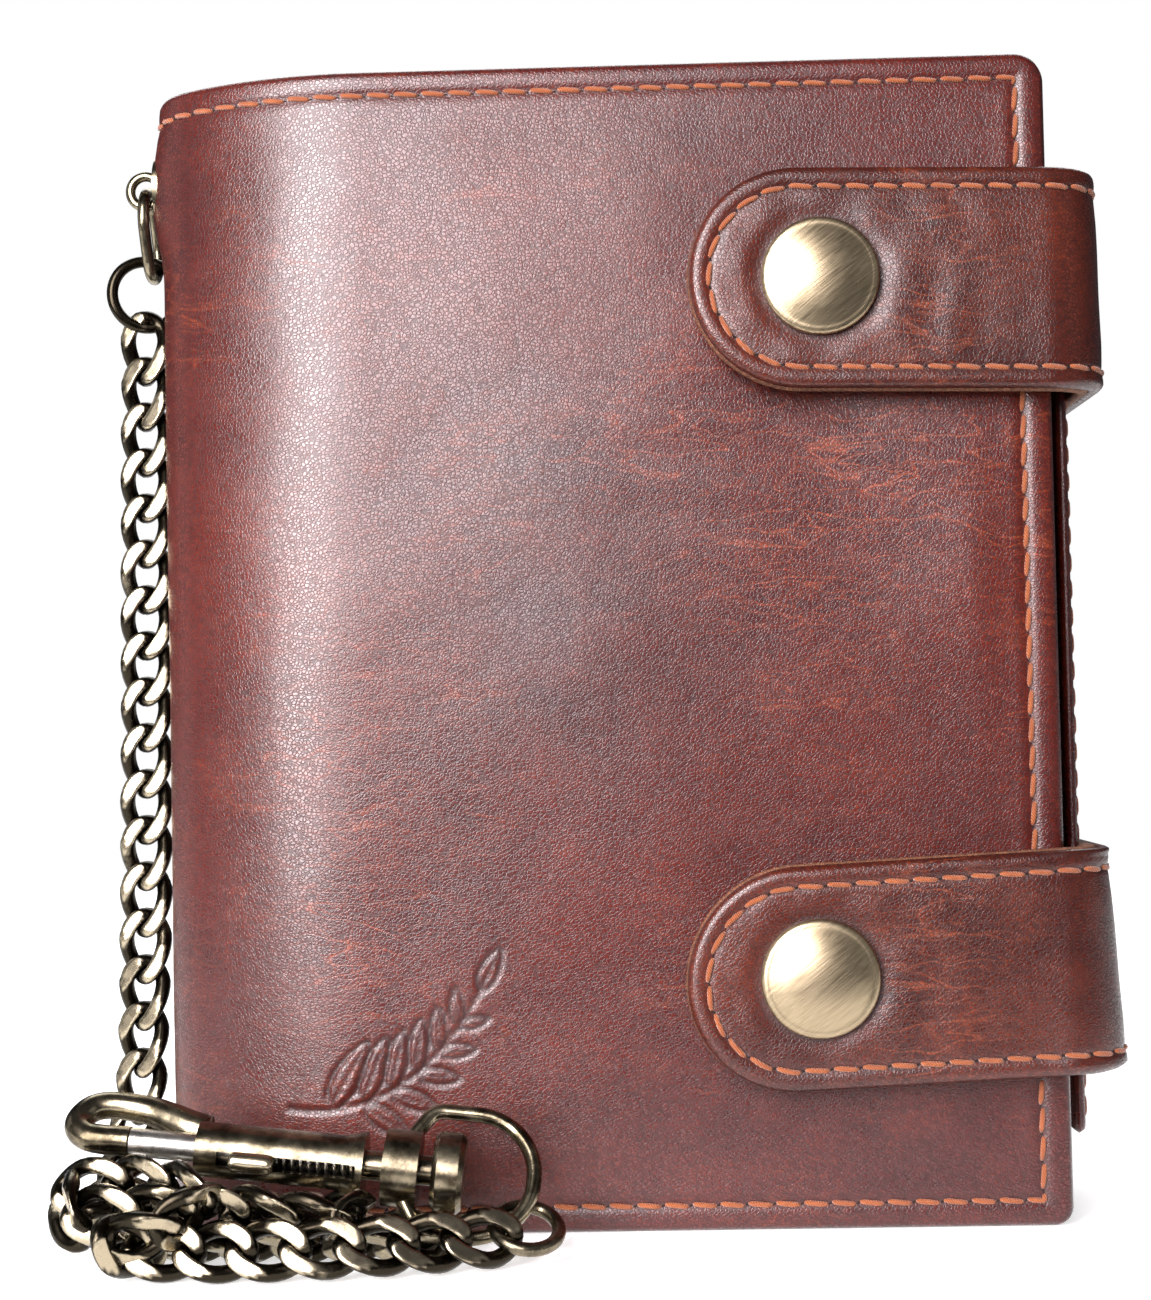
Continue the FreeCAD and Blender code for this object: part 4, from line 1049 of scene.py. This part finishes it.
def cap_tone_and_shade(radius, height):
    """How pale a snap cap's brass is: a little darker where the rim meets the dome, and darker low on the rim's
    outside, which is painted shade next to the strap.
    """
    if 5.2 < radius < 5.6:
        return 0.25
    return -0.2 if radius > 6.0 and height < 0.3 else 0.3


def build_cap(name, strap):
    """A domed snap cap with a rolled rim."""
    fine = smooth_profile(CAP_PROFILE)
    cap = lathe("cap_%s" % name, fine, (strap["x"], STRAP_FACE, strap["z"]), (0, -1, 0), CAP, "cap_brass",
                rubbed=[cap_tone_and_shade(r, a) for r, a in fine])
    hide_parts("snap_cap_%s" % name)
    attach(cap, "strap_" + name)


def build_strap(name, strap):
    """Outer leather, backing and seam of one strap."""
    sheet = strap_sheet(strap)
    backing = strap_sheet(strap, 0.16)
    half = STRAP_WIDTH / 2
    side_start = STRAP_OUTER - FRONT_BEND - (strap["x"] - SNAP_TO_TIP)
    lean, ripple, patch = STRAP_HABITS[name]

    def from_snap(s, h):
        return np.hypot(s - SNAP_TO_TIP, h - half)

    def side(s):
        return ramped(s - side_start + 2, 9.0) * ramped(side_start + 30 - s, 14.0)

    def shape(s, h):
        q = sheet.inset(s, h) - STRAP_SEAM
        body = 0.16 * np.sin(np.pi * ramped(-q, STRAP_SEAM)) ** 0.8 - 0.12 * bell(q, 0.36) + 0.10 * ramped(q, 3.0)
        away = from_snap(s, h)
        calm = ramped(away - 6.0, 2.5)
        body = body * (away >= CAP_EDGE) - 0.24 * bell(away - 6.6, 0.9)
        fold = bell(s - SNAP_TO_TIP - 12.5, 5.0) * ramped(q, 2.0)
        angle = np.arctan2(h - half, s - SNAP_TO_TIP)
        body += ripple * 0.085 * fold * np.sin(s * 1.05 + 0.9 * np.sin(h / 3.1)) * calm * np.sin(h / 4.6 + s / 9.0)
        body += 0.05 * calm * bell(away - 8.5, 2.0) * np.sin(9 * angle)
        body += 0.06 * calm * np.sin(s / 3.4 + h / 5.0) * np.sin(h / 3.1)
        return body + side(s) * (lean * (0.5 - h / STRAP_WIDTH) + 0.1)

    # darker along the seam and the cut edge; the ring round the cap's rim is painted shade where the cap sits on
    # the strap
    def stain_and_shade(s, h):
        q = sheet.inset(s, h) - STRAP_SEAM
        return 0.25 * bell(q, 0.32) + 0.5 * bell(from_snap(s, h) - 6.3, 0.45) + 0.25 * cut_edge(sheet, s, h, 0.3)

    def crease(s, h):
        return 0.8 * bell(s - SNAP_TO_TIP - 12, 7.0)

    def backing_shape(s, h):
        return side(s) * lean * (0.5 - h / STRAP_WIDTH)

    outer = skin("strap_%s_leather" % name, sheet, STRAP_LAYER, marks(0, sheet.length, 0.6, [(0, 3.0)], 0.28),
                 edge_marks(STRAP_WIDTH, 0.55, 3.0, 0.28), STRAP, "strap_leather",
                 relief=shape, stain_and_shade=stain_and_shade, crease=crease, uv_shift=(patch, 2.3))
    under = skin("strap_%s_lining" % name, backing, STRAP_LAYER - 0.05,
                 marks(0, backing.length, 1.0, [(0, 2)], 0.5), edge_marks(backing.height, 1.0, 1.5, 0.3),
                 BACKING, "backing_leather", relief=backing_shape, back_relief=backing_shape,
                 depth=STRAP_LAYER + 0.03, edge=0.35)
    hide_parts("strap_%s_tab" % name, "strap_%s_base" % name)
    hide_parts("strap_%s_backing" % name)
    inner = half - STRAP_SEAM
    end = sheet.length - STRAP_SEAM
    tip = [(half - inner * math.cos(math.radians(a)), half + inner * math.sin(math.radians(a)))
           for a in np.linspace(90, -90, 61)]
    line = along_line([(end, STRAP_SEAM), (end, STRAP_WIDTH - STRAP_SEAM)] + tip + [(end, STRAP_SEAM)])
    threads = seam("seam_strap_%s" % name, sheet, line, relief=shape, pitch=3.0)
    for piece in (outer, under, *threads):
        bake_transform(piece)
    build_cap(name, strap)


# ---------------------------------------------------------------- inside
INNER_SEAM = 2.0


def edge_shade(sheet):
    """Darker leather along a sheet's seam."""
    return lambda s, h: 0.3 * bell(sheet.inset(s, h) - INNER_SEAM, 0.35)


def slab(name, node, body, material, slot, facing=-1, radii=(1.5, 1.5), bow=0.0, stitched=False, trim=0.0):
    """A flat soft sheet where a CAD sheet stands, with rounded edges, a little unevenness and its seam."""
    low, high = node_box(node)
    face = low[1] + trim / 2 if facing < 0 else high[1] - trim / 2
    height = high[2] - low[2]
    sheet = Sheet(*flat_run(low[0], high[0], face, (0, facing, 0), 2.0), height, base=low[2],
                  radii=((0.6, 0.6), radii))

    def relief(s, h):
        return bow * ramped(sheet.inset(s, h), 10.0) * (0.6 + 0.4 * np.sin(s / 15.0 + h / 22.0))

    def dark(s, h):
        return edge_shade(sheet)(s, h) + 0.2 * cut_edge(sheet, s, h, 0.3)

    made = skin(name, sheet, high[1] - low[1] - trim, edge_marks(sheet.length, 2.5, 2.5, 0.5),
                edge_marks(height, 2.5, 2.5, 0.5), material, slot, relief=relief if bow else None, stain_and_shade=dark)
    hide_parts(node)
    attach(made, body)
    if stitched:
        end, top = sheet.length - INNER_SEAM, height - INNER_SEAM
        line = along_line([(1.5, top), (end, top), (end, INNER_SEAM), (1.5, INNER_SEAM)], 0.4)
        for piece in seam("seam_" + name, sheet, line, thread=FINE_THREAD):
            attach(piece, body)


def rounded_box(low, high, corner, steps, extra=0):
    """Points round a rectangle with rounded corners, with extra ones along its low side."""
    (x0, y0), (x1, y1) = low, high
    found = []
    for cx, cy, first in ((x1 - corner, y1 - corner, 0), (x0 + corner, y1 - corner, 90),
                          (x0 + corner, y0 + corner, 180), (x1 - corner, y0 + corner, 270)):
        for angle in np.linspace(first, first + 90, steps):
            bend = math.radians(angle)
            found.append((cx + corner * math.cos(bend), cy + corner * math.sin(bend)))
        if first == 180:
            found += [(x, y0) for x in np.linspace(x0 + corner, x1 - corner, extra)[1:-1]]
    return np.array(found)


BORDER_WIDTH = 9.0
BORDER_CORNERS = (3.2, 1.2)
# half the border's section: how far across it, and how far through it
BORDER_SECTION = ((0.0, -0.25), (0.02, -0.7), (0.06, -0.95), (0.25, -1.0), (0.5, -0.98), (0.8, -1.0), (0.95, -0.9),
                  (0.99, -0.6), (1.0, -0.2))


def build_border():
    """The leaf's leather border: a rounded band swept round its window, sewn on both faces."""
    low, high = node_box("leaf_frame")
    middle, half = (low[1] + high[1]) / 2, (high[1] - low[1]) / 2
    outer_round, inner_round = BORDER_CORNERS
    rings = []
    for u, v in BORDER_SECTION + tuple((u, -v) for u, v in BORDER_SECTION[::-1]):
        inset = u * BORDER_WIDTH
        flat = rounded_box((low[0] + inset, low[2] + inset), (high[0] - inset, high[2] - inset),
                           outer_round + (inner_round - outer_round) * u, 9)
        rings.append(np.stack([flat[:, 0], np.full(len(flat), middle + v * half), flat[:, 1]], -1))
    made = build("leaf_border", np.concatenate(rings), ring_faces(len(rings), len(rings[0]), closed=True), INNER,
                 "inner_leather")
    weld(made, 1e-7)
    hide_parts("leaf_frame")
    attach(made, "leaf")
    width, tall = high[0] - low[0], high[2] - low[2]
    far = BORDER_WIDTH - 1.6
    line = along_line([(far, far), (width - far, far), (width - far, tall - far), (far, tall - far),
                       (far, far)], 0.4)
    for facing, suffix in ((-1, "front"), (1, "back")):
        sheet = Sheet(*flat_run(low[0], high[0], middle + facing * half, (0, facing, 0), 2.0), tall, base=low[2])
        for piece in seam("seam_leaf_" + suffix, sheet, line, height=-0.02, thread=0.2):
            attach(piece, "leaf")


POUCH_WALL, POUCH_CORNER, POUCH_BELLY = 1.05, 1.6, 1.3


def pouch_ring(low, high, z, inset):
    """One level of the pouch: a rounded box whose front bellies out, most of all low down."""
    x0, x1 = low[0] + inset, high[0] - inset
    y0, y1 = low[1] + inset, high[1] - inset
    found = rounded_box((x0, y0), (x1, y1), max(POUCH_CORNER - inset * 0.8, 0.4), 6, extra=30)
    share = np.clip((found[:, 0] - x0) / (x1 - x0), 0, 1)
    lift = min((z - low[2]) / (high[2] - low[2]) / 0.72, 1.0)
    belly = POUCH_BELLY * np.sin(np.pi * share) ** 0.8 * math.sin(math.pi * lift) ** 0.9
    found[:, 1] -= np.where(found[:, 1] < (y0 + y1) / 2, belly, 0)
    return np.column_stack([found, np.full(len(found), z)])


def build_pouch():
    """A sagging coin pouch, open on top."""
    low, high = node_box("coin_pouch")
    levels = np.linspace(low[2], high[2], 34)
    stops = [(low[2], 1.0), (low[2] + 0.3, 0.3)] + [(z, 0.0) for z in levels[1:]]
    stops += [(high[2], POUCH_WALL * 0.5)] + [(z, POUCH_WALL) for z in levels[:0:-1]]
    stops.append((low[2] + POUCH_WALL, POUCH_WALL + 0.4))
    rings = [pouch_ring(low, high, z, inset) for z, inset in stops]
    pouch = build("pouch", np.concatenate(rings), ring_faces(len(rings), len(rings[0])), INNER, "inner_leather")
    weld(pouch, 1e-7)
    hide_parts("coin_pouch")
    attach(pouch, "back_half")


FLAP_BEND, FLAP_CORNER, FLAP_THICK, FLAP_TAIL = 1.1, 9.0, 0.98, 10.0


def build_flap():
    """The pouch's flap, over its top from the front down to the back, and its seam."""
    low, high = node_box("coin_flap")
    bend = FLAP_BEND
    profile = [(low[1], z) for z in np.linspace(low[2], high[2] - bend, 30)]
    profile += [(low[1] + bend - bend * math.cos(a), high[2] - bend + bend * math.sin(a))
                for a in np.linspace(0.1, math.pi / 2, 9)]
    profile += [(y, high[2]) for y in np.linspace(low[1] + bend + 0.4, high[1] - bend - 0.4, 9)]
    profile += [(high[1] - bend + bend * math.sin(a), high[2] - bend + bend * math.cos(a))
                for a in np.linspace(0, math.pi / 2, 9)]
    profile += [(high[1], z) for z in np.linspace(high[2] - bend - 0.5, high[2] - FLAP_TAIL, 12)]
    path = np.array([(low[0], y, z) for y, z in profile])
    ahead = np.gradient(path, axis=0)
    ahead /= np.linalg.norm(ahead, axis=1)[:, None]
    outward = np.stack([np.zeros(len(path)), -ahead[:, 2], ahead[:, 1]], -1)
    width = high[0] - low[0]
    sheet = Sheet(path, outward, width, axis=(1, 0, 0), radii=((FLAP_CORNER, FLAP_CORNER), (0.6, 0.6)))
    flap = skin("pouch_flap", sheet, FLAP_THICK, marks(0, sheet.length, 0.8), marks(0, width, 1.2), INNER,
                "inner_leather", stain_and_shade=edge_shade(sheet))
    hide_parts("coin_flap")
    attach(flap, "back_half")
    inner, end = FLAP_CORNER - INNER_SEAM, 33.0
    curve = [(FLAP_CORNER - inner * math.cos(a), FLAP_CORNER - inner * math.sin(a))
             for a in np.linspace(math.pi / 2, 0, 16)]
    line = [(end, INNER_SEAM)] + curve + [(a, width - b) for a, b in curve[::-1]] + [(end, width - INNER_SEAM)]
    for piece in seam("seam_pouch_flap", sheet, along_line(line, 0.3), pitch=3.0, thread=FINE_THREAD):
        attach(piece, "back_half")


def build_flap_snap():
    """The flap's small domed snap."""
    low, high = node_box("coin_snap_cap")
    centre = ((low[0] + high[0]) / 2, low[1], (low[2] + high[2]) / 2)
    radius = (high[0] - low[0]) / 2
    profile = [(ON_AXIS, 1.35), (radius - 0.4, 1.3), (radius, 0.95), (radius - 0.1, 0.6), (radius - 0.5, 0.4),
               (radius * 0.7, 0.22), (radius * 0.35, 0.05), (ON_AXIS, 0.0)]
    cap = lathe("pouch_cap", smooth_profile(profile), centre, (0, 1, 0), CAP, "cap_brass", 64, rubbed=0.2)
    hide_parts("coin_snap_cap")
    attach(cap, "back_half")


def build_side_wall():
    """The dark leather strip behind the front cover's edge."""
    low, high = node_box("side_wall")
    run = [np.array([high[0], y, 0.0]) for y in np.linspace(low[1], high[1] - 1.0, 22)]
    sheet = Sheet(run, [np.array([1.0, 0, 0])] * len(run), high[2] - low[2], base=low[2],
                  radii=((2.0, 2.0), (0.4, 0.4)))
    wall = skin("side_wall_leather", sheet, high[0] - low[0], marks(0, sheet.length, 0.8),
                edge_marks(sheet.height, 1.5, 2, 0.4), COVER, "cover_leather", uv_shift=(6.2, 1.1),
                stain_and_shade=lambda s, h: 0.25 * bell(sheet.inset(s, h) - 2.0, 0.35))
    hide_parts("side_wall")
    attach(wall, "back_half")
    for piece in seam("seam_side_wall", sheet, along_line([(2.0, sheet.height - 1.5), (2.0, 1.5)])):
        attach(piece, "back_half")


def build_inside():
    """Panels, card slots, divider, side wall, leaf and pouch."""
    halves = (("front", 1), ("back", -1))
    for half, facing in halves:
        slab("panel_" + half, half + "_panel", half + "_half", INNER, "inner_leather", facing, (2.0, 3.2),
             trim=0.04, stitched=True)
    for number in (1, 2, 3):
        for half, facing in halves:
            slab("slot_%s_%d" % (half, number), "card_slot_%s_%d" % (half, number), half + "_half", INNER,
                 "inner_leather", facing, trim=0.03, stitched=half == "front" and number == 3)
    slab("divider", "bill_divider", "back_half", CLOTH, "lining_fabric", bow=0.5)
    build_side_wall()
    build_border()
    build_pouch()
    build_flap()
    build_flap_snap()


# ---------------------------------------------------------------- clasp and rings
CLASP_AT = (6.8, -9.5, 11.3)
HOOK_LEAN = 52
# the hook's bends: distance along the clasp, height above its axis and radius
HOOK = ((0.4, 2.2, 1.75), (-1.5, 2.75, 1.72), (-3.4, 3.5, 1.62), (-5.6, 4.25, 1.50), (-8.2, 4.6, 1.42),
        (-10.4, 4.55, 1.40), (-11.9, 3.9, 1.40), (-12.8, 2.5, 1.40), (-12.75, 1.1, 1.42), (-11.6, 0.15, 1.46),
        (-9.9, -0.05, 1.50), (-8.3, 0.0, 1.52), (-7.1, 0.0, 1.52))
KNOB_PROFILE = ((ON_AXIS, -0.05), (0.62, 0.0), (0.9, 0.18), (1.0, 0.5), (1.02, 1.2), (1.02, 3.3), (1.0, 4.0),
                (0.9, 4.32), (0.62, 4.5), (ON_AXIS, 4.55))
SPRING_RUN = (8.5, 16.3)
SPRING_TURNS, SPRING_RADIUS, SPRING_WIRE = 9, 1.2, 0.22
END_RING_AT, END_RING_NORMAL = (40.4, -12.4, 3.4), (0.15, -0.45, 0.88)
END_RING_RADIUS, END_RING_WIRE = 3.3, 0.72


def clasp_frame():
    """The clasp's origin and its three axes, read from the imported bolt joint."""
    joint = next(j for j in frame["joints"] if j["name"] == "clasp_bolt_slide")
    along = normalised(np.array(joint["axis"], float))
    across = np.array([0.0, 1.0, 0.0])
    return np.array(CLASP_AT), along, across, np.cross(along, across)


def clasp_point(along_it, across_it=0.0, up_it=0.0, lean=0.0):
    """A point of the clasp's frame, turned by lean degrees about its axis."""
    origin, along, across, up = clasp_frame()
    bend = math.radians(lean)
    y = across_it * math.cos(bend) + up_it * math.sin(bend)
    z = -across_it * math.sin(bend) + up_it * math.cos(bend)
    return origin + along * along_it + across * y + up * z


def build_hook():
    """The hook, bent round from the barrel's mouth."""
    smooth = catmull(HOOK, np.linspace(0, len(HOOK) - 1, 73))
    core = np.array([clasp_point(along, 0, up, HOOK_LEAN) for along, up, _ in smooth])
    points, faces = tube(core, smooth[:, 2], 24)
    hook = build("hook", points, faces, BODY_BRASS, "antique_brass")
    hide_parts("clasp_hook")
    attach(hook, "front_half")


def build_knob():
    """The plunger's thumb knob."""
    knob = lathe("knob", smooth_profile(KNOB_PROFILE), clasp_point(3.7, -3.15, -0.35), clasp_frame()[1],
                 BODY_BRASS, "antique_brass", 40, rubbed=0.25)
    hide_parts("clasp_knob")
    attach(knob, "clasp_bolt")


def build_spring():
    """The coil spring behind the plunger; in the real clasp it shortens as the bolt is drawn."""
    begin, end = SPRING_RUN
    along = np.linspace(begin, end, 40 * SPRING_TURNS + 1)
    turn = 2 * math.pi * SPRING_TURNS * (along - begin) / (end - begin)
    core = np.array([clasp_point(a, SPRING_RADIUS * math.cos(t), SPRING_RADIUS * math.sin(t))
                     for a, t in zip(along, turn)])
    points, faces = tube(core, SPRING_WIRE, 8)
    spring = build("spring", points, faces, STEEL, "spring_steel", rubbed=np.full(len(points), 0.1))
    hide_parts("clasp_spring")
    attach(spring, "front_half")
    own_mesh(spring)


def build_end_ring():
    """The ring between the chain's last link and the clasp's loop."""
    normal = np.array(END_RING_NORMAL)
    level = normalised(np.cross((0.0, 1.0, 0.0), normal))
    tilted = np.cross(normalised(normal), level)
    turn = full_turn(64)[:, None]
    core = np.array(END_RING_AT) + END_RING_RADIUS * (np.cos(turn) * level + np.sin(turn) * tilted)
    points, faces = tube(core, END_RING_WIRE, 16, closed=True)
    ring = build("end_ring", points, faces, BRASS, "antique_brass", rubbed=np.full(len(points), 0.2))
    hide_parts("chain_end_ring")
    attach(ring, "front_half")
    return ring


def build_clasp():
    """The clasp's bent and sprung pieces; its turned pieces stay as the CAD's own."""
    build_hook()
    build_knob()
    build_spring()


def paint_cad():
    """Finishes for the CAD pieces that stay as they are."""
    finishes = ((BODY_BRASS, ("chain_plate", "chain_bail", "clasp_barrel", "clasp_stem", "swivel_loop")),
                (BRASS, ("jump_ring",)), (FILM, ("leaf_window",)),
                (STEEL, ("clasp_plunger", "snap_socket_upper", "snap_socket_lower", "snap_stud_upper",
                         "snap_stud_lower")))
    for material, nodes in finishes:
        for node in nodes:
            frame["nodes"][node].data.materials.clear()
            frame["nodes"][node].data.materials.append(material)


# ---------------------------------------------------------------- stage and light
# each light: place and target in metres, size, power in watts, colour and roll in degrees
LIGHTS = {
    "strip_left": ((-0.205, -0.36, 0.19), (-0.02, 0.0, 0.06), (0.13, 0.40), 4.2, (1.0, 0.955, 0.975), -16),
    "window_top": ((-0.083, -0.47, 0.205), (0.0, 0.0, 0.06), (0.14, 0.23), 1.4, (1.0, 0.93, 0.97), 0),
    "fill_right": ((0.55, -0.35, 0.30), (0.0, 0.0, 0.06), (0.30, 0.40), 0.12, (1.0, 0.97, 0.94), 0),
    "rim_left": ((-0.6, 0.05, 0.25), (0.0, 0.0, 0.06), (0.3, 0.5), 0.3, (1, 1, 1), 0),
    "floor_wash": ((0.0, 0.6, 0.7), (0.0, 0.15, 0.0), (0.9, 0.5), 5.0, (1, 1, 1), 0),
}
FLOOR_SIDE, FLOOR_FRONT, FLOOR_LEVEL = 0.6, 0.075, -0.0001
WHITE = (1, 1, 1, 1)


def area_light(name, where, target, size, power, colour, roll):
    """A soft rectangular light aimed at a point and rolled about its aim."""
    data = bpy.data.lights.new(name, "AREA")
    data.shape = "RECTANGLE"
    data.size, data.size_y = size
    data.energy = power
    data.color = colour
    light = bpy.data.objects.new(name, data)
    bpy.context.scene.collection.objects.link(light)
    light.location = Vector(where)
    aim = (Vector(target) - Vector(where)).to_track_quat("-Z", "Y")
    light.rotation_euler = (aim @ Quaternion((0, 0, 1), math.radians(roll))).to_euler()


def build_floor():
    """A small pale floor that glows a little, so that it comes out white."""
    side, front, level = FLOOR_SIDE, FLOOR_FRONT, FLOOR_LEVEL
    mesh = bpy.data.meshes.new("floor")
    mesh.from_pydata([(-side, -front, level), (side, -front, level), (side, side, level), (-side, side, level)],
                     [], [(0, 1, 2, 3)])
    floor = bpy.data.objects.new("floor", mesh)
    bpy.context.scene.collection.objects.link(floor)
    mesh.materials.append(node_material("floor_mat", Base_Color=(0.93, 0.93, 0.93, 1), Emission_Color=WHITE,
                                        Emission_Strength=0.62, Roughness=0.9)[0])


def build_world():
    """White where the camera sees it, dim and slightly blue as light."""
    world = bpy.data.worlds.new("world")
    bpy.context.scene.world = world
    world.use_nodes = True
    world.node_tree.nodes.clear()
    add = node_adder(world.node_tree)
    seen = add("ShaderNodeBackground", {"Color": WHITE, "Strength": 1.0}).outputs[0]
    room = add("ShaderNodeBackground", {"Color": (0.86, 0.90, 1.0, 1), "Strength": 0.08}).outputs[0]
    by_camera = add("ShaderNodeLightPath").outputs["Is Camera Ray"]
    add("ShaderNodeOutputWorld", {0: add("ShaderNodeMixShader", {0: by_camera, 1: room, 2: seen}).outputs[0]})


def build_stage():
    """A pale floor, a pale surround and soft lights."""
    build_floor()
    build_world()
    for name, facts in LIGHTS.items():
        area_light(name, *facts)


bpy.context.scene.view_settings.view_transform = "Standard"
build_clasp()
build_chain(build_end_ring())
build_covers()
for strap_name, facts in STRAPS.items():
    build_strap(strap_name, facts)
build_inside()
paint_cad()
build_stage()
